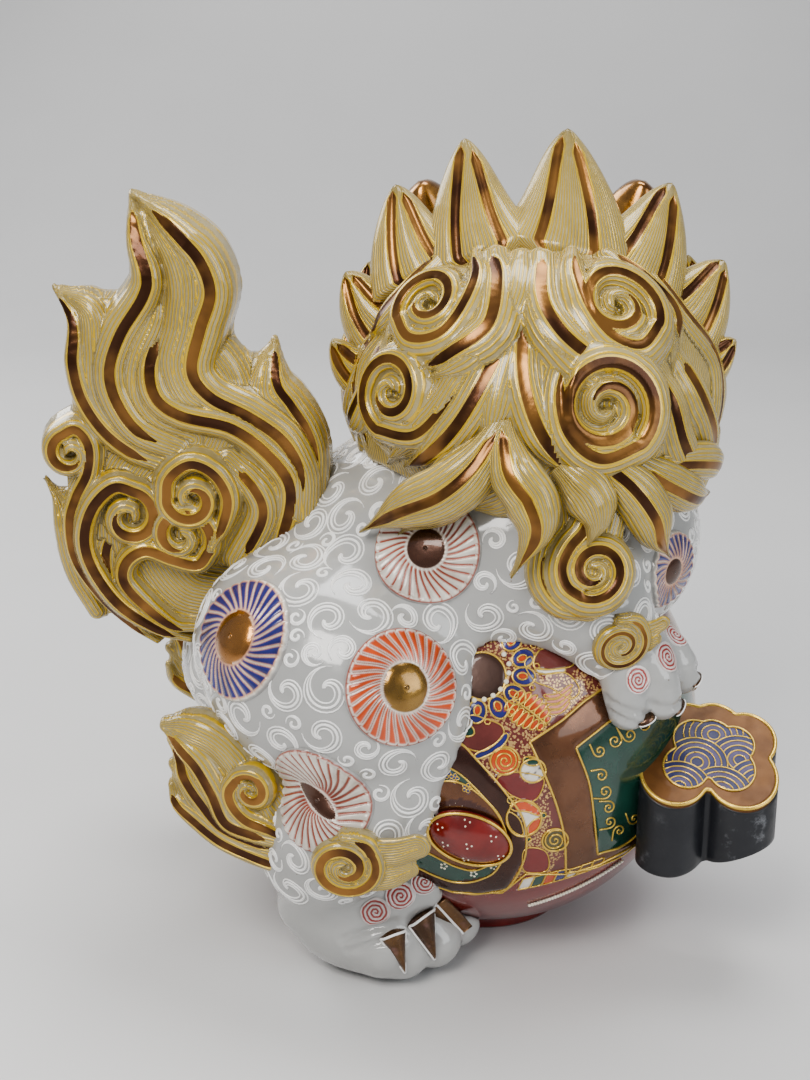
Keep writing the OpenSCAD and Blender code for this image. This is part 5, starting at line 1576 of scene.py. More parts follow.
class Paint:
    """Paints flat shapes on a chart and remembers their trailed gold outlines."""

    def __init__(self, ab, base):
        self.ab = ab
        n = len(ab)
        self.col = np.tile(arr(*base), (n, 1))
        self.metal, self.rough, self.h, self.dots = np.zeros(n), np.full(n, 0.14), np.zeros(n), np.zeros(n)
        self.lines, self.pearls = [], []

    def fill(self, m, colour, metal=0.0, rough=0.14, high=0.0, dots=0.0):
        self.col[m] = colour
        self.metal[m], self.rough[m], self.dots[m] = metal, rough, dots
        self.h[m] = high

    def inside(self, pts):
        p = np.asarray(pts, float)
        lo, hi = p.min(0), p.max(0)
        near = np.where((self.ab >= lo).all(1) & (self.ab <= hi).all(1))[0]
        x, y = self.ab[near, 0], self.ab[near, 1]
        odd = np.zeros(len(near), bool)
        for a, b in zip(p, np.roll(p, -1, 0)):
            if a[1] == b[1]:
                continue
            odd ^= ((a[1] > y) != (b[1] > y)) & (x < (b[0] - a[0]) * (y - a[1]) / (b[1] - a[1]) + a[0])
        return near[odd]

    def shape(self, pts, colour, round_=True, line=0.5, **more):
        p = np.asarray(pts, float)
        if round_:
            p = curve(np.vstack([p[-1:], p, p[:2]]), 8)[8:-8]
        self.fill(self.inside(p), colour, **more)
        if line:
            self.lines.append((np.vstack([p, p[:1]]), line))

    def oval(self, c, r1, r2, turn, colour, line=0.4, **more):
        t = np.linspace(0, 2 * math.pi, 30, endpoint=False)
        a = math.radians(turn)
        p = np.asarray(c, float) + np.stack([r1 * np.cos(t) * math.cos(a) - r2 * np.sin(t) * math.sin(a),
                                             r1 * np.cos(t) * math.sin(a) + r2 * np.sin(t) * math.cos(a)], 1)
        self.shape(p, colour, round_=False, line=line, **more)

    def stroke(self, pts, half, colour, line=0.4, **more):
        p = resample(curve(pts, 8), 24)
        d = unit(np.gradient(p, axis=0))
        n = np.stack([-d[:, 1], d[:, 0]], 1)
        k = half * np.sqrt(np.clip(1 - np.linspace(-1, 1, 24) ** 8, 0.05, 1))[:, None]
        self.shape(np.vstack([p + n * k, (p - n * k)[::-1]]), colour, round_=False, line=line, **more)

    def thread(self, pts, line, smooth_=True):
        self.lines.append((curve(pts, 8) if smooth_ else np.asarray(pts, float), line))

    def spiral(self, c, r, turns, a0, hand, line, tail=None):
        t = np.linspace(0, 1, int(22 * turns))
        rr = r * (1 - t * 0.92)
        aa = math.radians(a0) + hand * 2 * math.pi * turns * t
        p = np.asarray(c, float) + np.stack([rr * np.cos(aa), rr * np.sin(aa)], 1)
        if tail is not None:
            p = np.vstack([curve(np.vstack([tail, p[:1]]), 6)[:-1], p])
        self.lines.append((p, line))


CHART_R = 99.4


def paint_ball(ab):
    P = Paint(ab, MAROON)
    a, b = ab[:, 0], ab[:, 1]
    wave = np.sin(a * 0.16 + 1.1 * np.sin(b * 0.11)) + np.sin(b * 0.19 + 1.3 * np.sin(a * 0.09 + 1))
    P.fill(wave > -0.45, MAROON, dots=1.0)
    P.shape([(16, 30), (19, 23), (31, 23), (37, 16), (33, 12), (24, 17), (17, 20), (13, 27)], MAROON, line=0.35,
            dots=1.0)
    P.shape([(-8, -14), (-2, -9), (6, -4), (13, -5), (17, -12), (21, -24), (24, -36), (27, -50), (28, -62),
             (22, -56), (16, -52), (12, -43), (5, -30), (-2, -20)], MAROON, line=0, dots=1.0)
    P.shape([(1, -22), (8, -19), (20, -21), (21, -26), (17, -32), (9, -30), (5, -27)], DK_RED, line=0.3)
    P.shape([(14, -54), (22, -55), (25, -60), (24, -66), (15, -66), (13, -60)], DK_RED, line=0.3)
    P.shape([(-11, 5), (-4, 4), (3, 1), (3, -4), (-6, -10), (-16, -5)], MAROON, line=0.35)
    P.shape([(20, 33), (32, 33), (34, 26), (18, 25)], MAROON, line=0.4)
    P.shape([(22, 38), (30, 38), (29, 33), (21, 34)], GREEN, line=0.4)
    # half flower with pearls and looped petals
    P.oval((-5, 22), 10, 10, 0, (0.062, 0.026, 0.016), metal=0.4, rough=0.3, high=0.9, line=0.55)
    for q in ((4.2, 31), (6.3, 27), (6.2, 23.2), (5, 19.6), (2.6, 16.4), (-0.6, 13.8), (-4.4, 12.2), (-8.6, 11.8)):
        P.pearls.append((q, 1.15))
    centre = arr(-5, 23)
    for q in ((12.5, 29.5), (12.6, 21.8), (8.6, 14.2), (1.6, 8.8), (-7.4, 7.0), (8, 37), (-16, 9)):
        d = math.degrees(math.atan2(q[1] - centre[1], q[0] - centre[0]))
        P.oval(q, 5.0, 3.9, d, BLUE, high=0.5, line=0.5)
        P.oval(arr(*q) - 0.6 * unit(arr(*q) - centre), 2.2, 1.5, d, ORANGE, high=0.7, line=0.4)
    for q in ((18.2, 26), (16.3, 17), (7.3, 7), (-3.0, 2.8), (-12.6, 3.8), (17, 35)):
        P.oval(q, 1.3, 1.3, 0, (0.16, 0.02, 0.015), high=0.5, line=0.35)
    P.stroke([(17.5, 24.5), (24, 23.6), (31, 24.4)], 1.0, IVORY, line=0.25, high=0.5)
    for i in range(4):
        P.stroke([(21 + i * 0.8, 13.5 - i * 2.4), (27 + i * 0.5, 13.5 - i * 2.2), (34 - i * 0.5, 18 - i * 2.4)],
                 0.85, (0.60, 0.16, 0.09), line=0.3, high=0.3)
    # feather leaf
    s0, s1 = arr(7.5, 12.5), arr(22.5, 1.0)
    for i in range(7):
        c0 = s0 + (s1 - s0) * (i + 0.3) / 7
        k = math.sin(math.pi * (0.22 + 0.66 * i / 6))
        for lean in (78, -92):
            ang = math.degrees(math.atan2(*(s1 - s0)[::-1])) + lean
            dv = arr(math.cos(math.radians(ang)), math.sin(math.radians(ang)))
            P.oval(c0 + dv * (1.0 + 3.1 * k), 3.3 * k + 0.6, 1.28, ang, ORANGE, high=0.55, line=0.36)
    P.thread([s0, (s0 + s1) / 2 + arr(0.3, 0.3), s1], 0.5)
    P.shape([(-14, 2), (-10, 1), (-8.6, -2.4), (-12, -3.6), (-15, -1)], GREEN, line=0.4, high=0.3)
    P.stroke([(-8.5, -12.5), (-2, -9.6), (2.6, -6.4), (5.4, -2.2)], 1.4, BLUE, line=0.42, high=0.5)
    P.oval((4.4, -14), 6.2, 6.0, 0, ORANGE, high=0.6, line=0.5)
    P.spiral((4.4, -14), 5.6, 2.6, 140, -1, 0.42)
    P.oval((16.4, -18.4), 5.4, 5.2, 0, IVORY, high=0.6, line=0.5)
    P.oval((15.6, -14.2), 3.6, 1.9, -12, GREEN, high=0.9, line=0.4)
    for q in ((14, -19.5), (17.6, -19), (19.4, -21.5), (19.6, -16.8)):
        P.oval(q, 0.8, 0.6, 30, (0.03, 0.03, 0.05), line=0, high=0.7)
    # rosette in four colours
    P.oval((13, -39.5), 7.6, 8.2, 20, IVORY, high=0.5, line=0.5)
    P.shape([(7, -33), (13, -31.8), (18.6, -35), (20, -38.6), (14, -36.4), (8.4, -35.6)], ORANGE, line=0.36,
            high=0.6)
    P.shape([(20.4, -40), (19.6, -44.6), (16, -47.4), (14.6, -44), (17.4, -40.4)], ORANGE, line=0.36, high=0.6)
    P.shape([(6.4, -36), (10.6, -39), (12.4, -43.5), (12.4, -47), (8, -44.5), (5.8, -40)], BLUE, line=0.36,
            high=0.6)
    for q, r in (((7, -31), 1.5), ((21.6, -38.6), 1.3), ((15.4, -49.6), 1.2)):
        P.oval(q, r, r, 0, GREEN, line=0.35, high=0.5)
    P.oval((27, -50.4), 5.6, 5.4, 0, (0.10, 0.085, 0.03), high=0.5, line=0.5)
    P.spiral((27, -50.4), 5.0, 2.3, 60, 1, 0.42)
    # lower border of slanted flags
    P.shape([(-40, -68), (-17, -76), (5, -77), (15, -67), (33, -68), (48, -64), (67, -56), (84, -44), (96, -26),
             (99.5, -9), (100, -100), (-100, -100), (-97, -22), (-80, -48), (-60, -60)], DK_RED, round_=False,
             line=0.5)
    for i, colr in enumerate((IVORY, GREEN, ORANGE, BLUE, IVORY, RED_BROWN, IVORY)):
        x = 14 + i * 5.2
        y = -69.5 + i * 0.95 + 0.16 * i * i * 0.35
        P.shape([(x, y), (x + 5.2, y + 1.3), (x + 3.4, y - 4.6), (x - 2.2, y - 6.0)], colr, round_=False, line=0.35,
                high=0.3)
    for i in range(34):
        t = i / 33
        P.pearls.append(((18 + 42 * t, -84.5 + 12.5 * t + 6.5 * t * t), 0.85))
    # corner frame in copper and the green panel
    P.shape([(49, 1), (35, -9), (41, -24), (44, -40), (47, -59), (60, -56), (72, -47), (84, -33), (92, -18),
             (97, 0), (92, 22), (82, 20), (68, 12)], GREEN, round_=False, line=0)
    P.shape([(39, 11), (29, 3), (15, -6), (21, -19), (27, -34), (31, -49), (33, -67), (46, -66), (60, -62),
             (74, -52),
             (72, -47), (60, -56), (47, -59), (44, -40), (41, -24), (35, -9), (49, 1), (68, 12), (82, 20), (76, 30),
             (58, 22)], DARK_COPPER, round_=False, line=0.0, metal=0.85, rough=0.25, high=1.3)
    P.thread([(76, 30), (58, 22), (39, 11), (29, 3), (15, -6)], 0.6, False)
    P.thread([(15, -6), (21, -19), (27, -34), (31, -49), (33, -67)], 0.6)
    P.thread([(33, -67), (46, -66), (60, -62), (74, -52)], 0.55)
    P.thread([(82, 20), (68, 12), (49, 1), (35, -9)], 0.55, False)
    P.thread([(35, -9), (41, -24), (44, -40), (47, -59)], 0.55)
    P.thread([(47, -59), (60, -56), (72, -47)], 0.55)
    for c, r, t, a0, hd in (((46, -11), 2.9, 1.5, 200, 1), ((53, -7), 3.3, 1.6, 30, -1),
                            ((60, -5), 3.2, 1.6, 210, 1),
                            ((67, -1), 3.1, 1.5, 40, -1), ((74, 4), 3.1, 1.5, 220, 1),
                            ((47, -22), 2.9, 1.5, 100, -1),
                            ((49, -29.5), 3.2, 1.6, 260, 1), ((51, -37), 3.0, 1.6, 90, -1),
                            ((52, -44), 3.0, 1.5, 270, 1),
                            ((57, -49), 2.9, 1.5, 180, -1), ((64, -44), 2.9, 1.5, 200, 1),
                            ((71, -36), 2.8, 1.5, 200, -1)):
        P.spiral(c, r, t, a0, hd, 0.42, tail=[arr(*c) + r * 1.9 * arr(math.cos(math.radians(a0 - 55 * hd)),
                                                                      math.sin(math.radians(a0 - 55 * hd)))])
    # roundel round the cabochon
    band = [(-40, -20), (-23, -13), (-16, -6), (-7, -14), (5, -28), (13, -41), (14, -58), (7, -74), (-6, -77),
            (-17, -76),
            (-40, -68)]
    P.shape(band, BROWN, round_=False, line=0.0, metal=0.75, rough=0.24, high=1.4)
    P.thread([(-23, -13), (-16, -6), (-7, -14), (5, -28), (13, -41), (14, -58), (7, -74), (-6, -77), (-17, -76)],
             0.6)
    P.shape([(-40, -24), (-23, -15), (-14, -20), (-4, -30), (3, -39), (5, -50), (4, -59), (-2, -67), (-17, -70),
             (-40, -60)], GREEN, round_=False, line=0, high=0.9)
    P.thread([(-23, -15), (-14, -20), (-4, -30), (3, -39), (5, -50), (4, -59), (-2, -67), (-17, -70), (-40, -60)],
             0.5)
    P.shape([(-46, -28), (-23, -23), (-13, -24), (-4, -30.5), (2, -38), (5.6, -47), (4, -56), (-6, -63.5),
             (-15, -62.5), (-26, -57), (-40, -50)], (0.17, 0.07, 0.03), line=0.5, metal=0.8, rough=0.24, high=1.3)
    P.shape([(-30, -40), (-24, -33), (-13, -30.5), (-2, -36), (5.4, -45), (5, -54), (-6, -61), (-16, -59),
             (-25, -52)], (0.075, 0.024, 0.018), line=0, metal=0.6, rough=0.22, high=1.0)
    for q in ((-17, -21.5), (-11.5, -25.6), (-20.5, -19.6)):
        for k in range(5):
            d = arr(math.cos(k * 1.257), math.sin(k * 1.257))
            P.oval(arr(*q) + 1.35 * d, 0.95, 0.8, k * 72, (0.04, 0.06, 0.24), line=0.22, high=1.2)
    for q in ((-31, -55.5), (-8, -66), (-21, -62.5), (0.5, -62)):
        for k in range(5):
            d = arr(math.cos(k * 1.257), math.sin(k * 1.257))
            P.pearls.append((tuple(arr(*q) + 1.25 * d), 0.62))
    for i in range(60):
        q = (rng.uniform(-24, 2), rng.uniform(-34, -17))
        P.pearls.append((q, 0.22))
    return P


def runs(keep, least):
    """Index lists of the unbroken stretches where keep is true, with at least so many points."""
    cuts = np.flatnonzero(np.diff(keep.astype(int))) + 1
    return [i for i in np.split(np.arange(len(keep)), cuts) if keep[i[0]] and len(i) >= least]


def runs_on_chart(pts):
    """The stretches of a line that stay on the ball's chart."""
    return [pts[i] for i in runs(np.hypot(pts[:, 0], pts[:, 1]) < CHART_R, 3)]


def make_ball():
    nz, na = 306, 640
    pole, glaze, table = 0.004, BALL_R - 0.6, 5.8     # rings start off the pole; the ball is cut flat in its foot
    th = np.linspace(pole, math.pi - pole, nz)
    ph = np.linspace(0, 2 * math.pi, na, endpoint=False)
    TH, PH = np.meshgrid(th, ph, indexing="ij")
    d = np.stack([np.sin(TH) * np.cos(PH), np.sin(TH) * np.sin(PH), np.cos(TH)], -1).reshape(-1, 3)
    ab = np.stack([d[:, 0] * BALL_R, d @ VIEW_UP * BALL_R], 1)
    P = paint_ball(ab)
    far = (d @ VIEW_BACK) < 0
    # a plain oval stands in for the cabochon on the far half
    x, y, tilt = ab[:, 0] + 10, ab[:, 1] + 46, 0.35
    cab = ((x * math.cos(tilt) - y * math.sin(tilt)) ** 2 / 15 ** 2
           + (x * math.sin(tilt) + y * math.cos(tilt)) ** 2 / 10.5 ** 2)
    P.fill(far & (cab < 1), DK_RED, high=2.2, rough=0.1)
    h = blur(blur(P.h.reshape(nz, na)))
    v = BALL + d * (glaze + h.reshape(-1))[:, None]
    v[:, 2] = np.maximum(v[:, 2], table)
    v = np.vstack([v, BALL + arr(0, 0, glaze), arr(BALL[0], BALL[1], table)])
    pad = lambda x, y: np.r_[x, [y, y]]
    mesh_object("brocade_ball", v, flipped(capped(nz, na)), ["ball"], [M_BALL],
                floats={"metal": pad(P.metal, 0), "rough": pad(P.rough, 0.2), "stipple": pad(P.dots, 0)},
                colours={"paint": np.vstack([P.col, [DK_RED, DK_RED]])})
    # trailed gold lines and pearls stand on the glaze
    gold, pearl = Bag(), Bag()
    for face in (1, -1):
        for pts, r in [(run, r) for pts, r in P.lines for run in runs_on_chart(pts)]:
            seg = np.linalg.norm(np.diff(pts, axis=0), axis=1).sum()
            q = resample(np.column_stack([pts, np.zeros(len(pts))]), max(6, int(seg / 1.05)))[:, :2]
            d = unit(on_ball(q, face) - BALL)
            ring = (np.arccos(np.clip(d[:, 2], -1, 1)) - pole) / (math.pi - 2 * pole) * (nz - 1)
            turn = (np.arctan2(d[:, 1], d[:, 0]) % (2 * math.pi)) / (2 * math.pi) * na
            hh = h[np.clip(np.round(ring), 0, nz - 1).astype(int), np.round(turn).astype(int) % na]
            hh = np.convolve(np.pad(hh, 2, mode="edge"), np.ones(5) / 5, mode="valid")
            p = BALL + d * (glaze + hh + 0.12)[:, None]
            if (p[:, 2] < 7).any():
                continue
            add_tube(gold, p, r, side=5, up=d)
        for q, r in P.pearls:
            c = on_ball(arr(*q), face)
            n = unit(c - BALL)
            if c[2] < 8:
                continue
            e1 = unit(np.cross(n, arr(0.3, 0.2, 0.9)))
            e2 = np.cross(n, e1)
            rings = [(1.0, -0.6), (1.0, 0.15), (0.82, 0.5), (0.45, 0.78)]
            k = 9
            vv = np.vstack([c + n * (0.8 * r * z + 0.3) + ellipse(e1, e2, r * s, r * s, circle(k)) for s,
                            z in rings] + [(c + n * (0.85 * r + 0.3))[None], (c - n * r)[None]])
            # the ring nearest the eye is the last one, so its cap point comes first
            pearl.add(vv, grid_faces(4, k).tolist() + [[3 * k + j, 3 * k + (j + 1) % k, 4 * k] for j in range(k)]
                      + [[(j + 1) % k, j, 4 * k + 1] for j in range(k)])
    gold.make("ball_gold_lines", [], "ball_enamel", [M_GOLD])
    pearl.make("ball_pearls", [], "ivory_enamel", [M_IVORY])

    # foot, with a rounded edge
    lo, hi = cad_box("ball_foot")
    r = (hi[0] - lo[0]) / 2
    top = hi[2] + 0.4
    prof = [(r - 4.5, 0.0), (r - 2.0, 0.0), (r - 0.6, 0.5), (r, 1.6), (r, top - 1.2), (r - 0.5, top - 0.2),
            (r - 2.5, top)]
    n = 144
    vv = [[q * math.cos(k), q * math.sin(k), z] for q, z in prof for k in circle(n)] + [[0, 0, 0.0], [0, 0, top]]
    mesh_object("glazed_foot", vv, capped(len(prof), n), ["ball_foot"], [M_MAROON], sharp=50)

    # cabochon: a low oval dome with a gold rim and groups of three white dots
    lo, hi = cad_box("ball_cabochon")
    c = (lo + hi) / 2
    n = unit(c - BALL)
    c = BALL + n * BALL_R
    e1 = unit(arr(1, 0, 0) - n * n[0])
    e2 = np.cross(n, e1)
    if e2[2] < 0:
        e2 = -e2
    a = math.radians(-20)
    e1, e2 = e1 * math.cos(a) + e2 * math.sin(a), -e1 * math.sin(a) + e2 * math.cos(a)
    na, nr = 120, 18
    ra, rb = 18.5, 12.6
    oval = ellipse(e1, e2, ra, rb, circle(na))
    rows = []
    for i in range(nr):
        k = (i + 1) / nr
        z = 1.2 + 5.2 * (1 - k ** 2.4)
        rows.append(c + n * z + k * oval)
    rows.append(c - n * 3 + oval)
    f = capped(nr + 1, na)
    if np.cross(e1, e2) @ n > 0:
        f = flipped(f)
    bag = Bag()
    bag.add(np.vstack(rows + [(c + n * 6.4)[None], (c - n * 4)[None]]), f)
    edge = c + n * 2.0 + 1.01 * oval
    edge = np.vstack([edge, edge[:2]])
    add_tube(bag, edge, 0.75, 1, side=8, up=n)
    for q in ((-0.25, 0.72), (0.45, 0.52), (0.0, -0.02), (0.82, -0.2), (-0.78, 0.15), (0.1, -0.75), (-0.5, -0.4)):
        for k in range(3):
            dx, dy = 0.075 * math.cos(k * 2.1 + 0.5), 0.11 * math.sin(k * 2.1 + 0.5)
            x, y = q[0] + dx, q[1] + dy
            z = 1.2 + 5.2 * (1 - min(1, math.hypot(x, y)) ** 2.4)
            p0 = c + e1 * ra * x + e2 * rb * y + n * z
            add_tube(bag, np.array([p0 - n * 0.5, p0, p0 + n * 0.42]), np.array([0.5, 0.5, 0.2]), 2, side=7)
    bag.make("cabochon", ["ball_cabochon"], "red_enamel", [M_MAROON, M_GOLD, M_IVORY])


make_ball()


# ---------------------------------------------------------------- ribbon knot
def knot_outline(n):
    lobes = [(-17, -8, 15), (13, -9, 16), (18, 9, 13), (-8, 12, 15), (4, 14, 13), (0, 0, 16)]
    t = circle(n)
    r = np.zeros(n)
    for x, y, q in lobes:
        b = x * np.cos(t) + y * np.sin(t)
        disc = b * b - (x * x + y * y - q ** 2)
        r = np.maximum(r, np.where(disc > 0, b + np.sqrt(np.maximum(disc, 0)), 0))
    for _ in range(2):
        r = (np.roll(r, 1) + 2 * r + np.roll(r, -1)) / 4
    return np.stack([r * np.cos(t), r * np.sin(t)], 1)


def make_knot():
    lo, hi = cad_box("ribbon_knot")
    k0 = arr((lo[0] + hi[0]) / 2 + 1.5, (lo[1] + hi[1]) / 2 - 2.5, lo[2])
    tilt = math.radians(27)
    slope = math.tan(tilt)
    mid_z = lo[2] + 47

    def top(xy, up=0.0):
        return np.column_stack([k0[0] + xy[:, 0], k0[1] + xy[:, 1], mid_z + xy[:, 1] * slope + up])

    n = 240
    o = knot_outline(n)
    tz = top(o)[:, 2]
    foot = lo[2] + 15 * smooth(o[:, 0], -22, 30)      # the underside rises away from the ball
    sides = [(0.0, 0.90), (0.012, 0.965), (0.04, 1.0)] + [(k, 1.0) for k in np.linspace(0.1, 0.97, 22)]
    rows = [np.column_stack([k0[:2] + o * s, foot + (tz - foot) * k]) for k, s in sides]
    rows += [top(o * s, up) for s, up in ((0.995, -0.5), (0.97, 0.0), (0.8, -0.3), (0.5, -0.3))]
    bag = Bag()
    bag.add(np.vstack(rows + [arr(k0[0], k0[1], foot.mean())[None], top(np.zeros((1, 2)), -0.3)]),
            capped(len(rows), n))
    bag.make("knot_block", ["ribbon_knot"], "black_glaze", [M_BLACK])

    # decorated top: copper border, blue waves in gold outlines
    rings = np.r_[0.02, np.linspace(0.06, 0.93, 44), 0.965, 0.985, 0.985]
    xy = np.vstack([o * k for k in rings])
    R = np.repeat(rings, n)
    col = np.tile(arr(0.17, 0.075, 0.022), (len(xy), 1))
    inner = R < 0.66
    fans = [(-15, -16), (3, -19), (20, -15), (-6, -3), (13, -2), (3, 12)]      # the nearest wave first
    fan_r, fan_step = 13.5, 2.7
    ring_id = np.zeros(len(xy), int)
    for c in fans[::-1]:
        d = np.hypot(xy[:, 0] - c[0], xy[:, 1] / math.cos(tilt) - c[1])
        ring_id[d < fan_r] = (d[d < fan_r] / fan_step).astype(int)
    blue, violet = arr(0.016, 0.02, 0.11), arr(0.075, 0.06, 0.17)
    col[inner] = np.where((ring_id % 2 == 0)[:, None], blue, violet)[inner]
    metal = np.where(inner, 0.0, 0.5)
    v = top(xy)
    v[:, 2] += 1.9 * np.where(R > 0.98, 0.6, 1.0)
    v[-n:, 2] -= 3.0
    v = np.vstack([v, top(np.zeros((1, 2)), 1.9), top(np.zeros((1, 2)), -2)])
    mesh_object("knot_top", v, flipped(capped(len(rings), n)), ["knot_cap"], [M_KNOT],
                floats={"metal": np.r_[metal, 0, 0], "rough": np.r_[np.full(len(xy), 0.42), 0.2, 0.2]},
                colours={"paint": np.vstack([col, blue, blue])})
    gold = Bag()
    add_tube(gold, top(np.vstack([o, o[:2]]) * 0.975, 1.5), 0.95, side=8)
    add_tube(gold, top(np.vstack([o, o[:2]]) * 0.66, 2.1), 0.55, side=6)
    lim = np.hypot(o[:, 0], o[:, 1]) * 0.655
    ang = np.arctan2(o[:, 1], o[:, 0]) % (2 * math.pi)
    order = np.argsort(ang)
    for i, c in enumerate(fans):
        for r in (2.7, 5.4, 8.1, 10.8, 13.4):
            t = np.linspace(0, 2 * math.pi, 90)
            q = np.stack([c[0] + r * np.cos(t), (c[1] + r * np.sin(t)) * math.cos(tilt)], 1)
            ok = np.hypot(q[:, 0], q[:, 1]) < np.interp(np.arctan2(q[:, 1], q[:, 0]) % (2 * math.pi), ang[order],
                                                        lim[order])
            for c2 in fans[:i]:
                ok &= np.hypot(q[:, 0] - c2[0], q[:, 1] / math.cos(tilt) - c2[1]) > fan_r
            for run in runs(ok, 4):
                add_tube(gold, top(q[run], 1.95), 0.36, side=5)
    gold.make("knot_gold_lines", [], "blue_wave_enamel", [M_GOLD])

    # neck between the ball and the knot: a pleated copper band
    aim = unit(arr(k0[0], k0[1], lo[2] + 26) - BALL)
    e1 = unit(np.cross(aim, arr(0, 0, 1)))
    e2 = np.cross(e1, aim)
    n, rows = 96, []
    t = circle(n)
    for s, r in ((92, 16.0), (97, 16.6), (100, 16.8), (104, 15.4), (110, 15.0), (116, 15.6), (120, 16.2)):
        rr = r * (1 + 0.035 * np.cos(9 * t))
        rows.append(BALL + aim * s + rr[:, None] * ellipse(e1, e2, 1, 1, t))
    bag = Bag()
    bag.add(np.vstack(rows + [(BALL + aim * 92)[None], (BALL + aim * 120)[None]]), capped(len(rows), n))
    ring = BALL + aim * 103 + ellipse(e1, e2, 16.2, 16.2, t)
    add_tube(bag, np.vstack([ring, ring[:2]]), 0.9, 1, side=7)
    bag.make("knot_neck", ["ribbon_neck"], "copper_lustre", [M_COPPER, M_GOLD])


def scuffed_black():
    n = Net("scuffed_black_glaze")
    scuff = n.math("MULTIPLY", n.step(n.noise(9.0, 8.0, 0.72), 0.52, 0.70), n.step(n.noise(2.6, 3.0), 0.42, 0.62))
    c = n.mix(n.math("MULTIPLY", scuff, 0.55), (0.013, 0.014, 0.018), (0.30, 0.31, 0.33))
    n.bump(n.noise(30.0, 4.0), 0.25, 0.5)
    return n.set(c, n.step(n.noise(6.0, 5.0), 0.3, 0.7, 0.34, 0.62), 0.0, 0.15, 0.2)


M_BLACK = scuffed_black()
make_knot()


# ---------------------------------------------------------------- claws, teeth, tongue, eyes
def fang(bag, root, tip, r):
    root, tip = arr(*root), arr(*tip)
    t = np.linspace(0, 1, 16)[:, None]
    p = root + (tip - root) * t + arr(0, 1.5, 0) * np.sin(t * math.pi)
    add_tube(bag, p, r * (1 - t[:, 0] ** 1.25 * 0.96), side=14, flat=0.9)


def claw_plate(bag, a, b, tip, bulge, thick, rim):
    """A flat, slightly domed triangular claw with a raised pale outline."""
    a, b, tip = (np.asarray(q, float) for q in (a, b, tip))
    out = unit(np.cross(b - a, tip - a))
    if out @ ((a + b) / 2 - arr(-40 if a[2] < 60 else 60, 0, (a + b)[2] / 2)) < 0:
        out = -out
    nu, nt = 17, 20
    u, t = np.linspace(-1, 1, nu), np.linspace(0, 1, nt)
    U, Tt = np.meshgrid(u, t)
    left, right = (q * (1 - Tt[..., None]) + tip * Tt[..., None] for q in (a, b))
    k = ((U + 1) / 2)[..., None]
    p = left * (1 - k) + right * k
    p = p - (tip - (a + b) / 2) * (0.10 * (1 - U ** 2) * (1 - Tt))[..., None]
    dome = bulge * (1 - U ** 2) ** 0.6 * (1 - Tt ** 2.2) ** 0.5
    up, low = p + out * (dome + 0.5)[..., None], p - out * thick
    v = np.vstack([up.reshape(-1, 3), low.reshape(-1, 3)])
    m = nu * nt
    f = []
    for j in range(nt - 1):
        for i in range(nu - 1):
            q = [j * nu + i, j * nu + i + 1, (j + 1) * nu + i + 1, (j + 1) * nu + i]
            f += [q, [x + m for x in q[::-1]]]
    last = (nt - 1) * nu
    ring = list(range(nu)) + [j * nu + nu - 1 for j in range(1, nt)]
    ring += [last + i for i in range(nu - 2, -1, -1)] + [j * nu for j in range(nt - 2, 0, -1)]
    f += [[k, i, i + m, k + m] for i, k in zip(ring, ring[1:] + ring[:1])]
    if np.cross(b - a, tip - a) @ out < 0:
        f = [q[::-1] for q in f]
    bag.add(v, f, 0)
    edge = np.vstack([up[::-1, 0], up[0, 1:], up[1:, -1]])
    add_tube(bag, resample(edge, 60), rim, 1, side=6)


def make_claws():
    hind = (((-49, -96, 29), (-37, -93, 33), (-38, -95, 11)), ((-36, -91, 33), (-25, -82, 36), (-25, -87, 13)),
            ((-23, -80, 37), (-12, -71, 38), (-12, -72, 18)))
    fore = (((62, -86, 129), (69, -84, 132), (66, -84, 123)), ((77, -80, 133), (84, -74, 136), (81, -77, 126)),
            ((87, -66, 139), (91, -58, 141), (90, -61, 131)))
    for s, side in ((-1, "right"), (1, "left")):
        for name, claws, dx, dy in (("hind", hind, FAR_BACK, FAR_OUT), ("fore", fore, 0, 0)):
            bag = Bag()
            for corners in claws:
                pts = [c + nn * 0.6 for c, nn in (on_skin(side_point(q, s, dx, dy)) for q in corners)]
                claw_plate(bag, *pts, *((4.6, 5.0, 0.62) if name == "hind" else (1.6, 2.5, 0.3)))
            bag.make(f"claws_{name}_{side}_set", [f"claws_{name}_{side}"], "copper_lustre", [M_DARK, M_SCROLL])


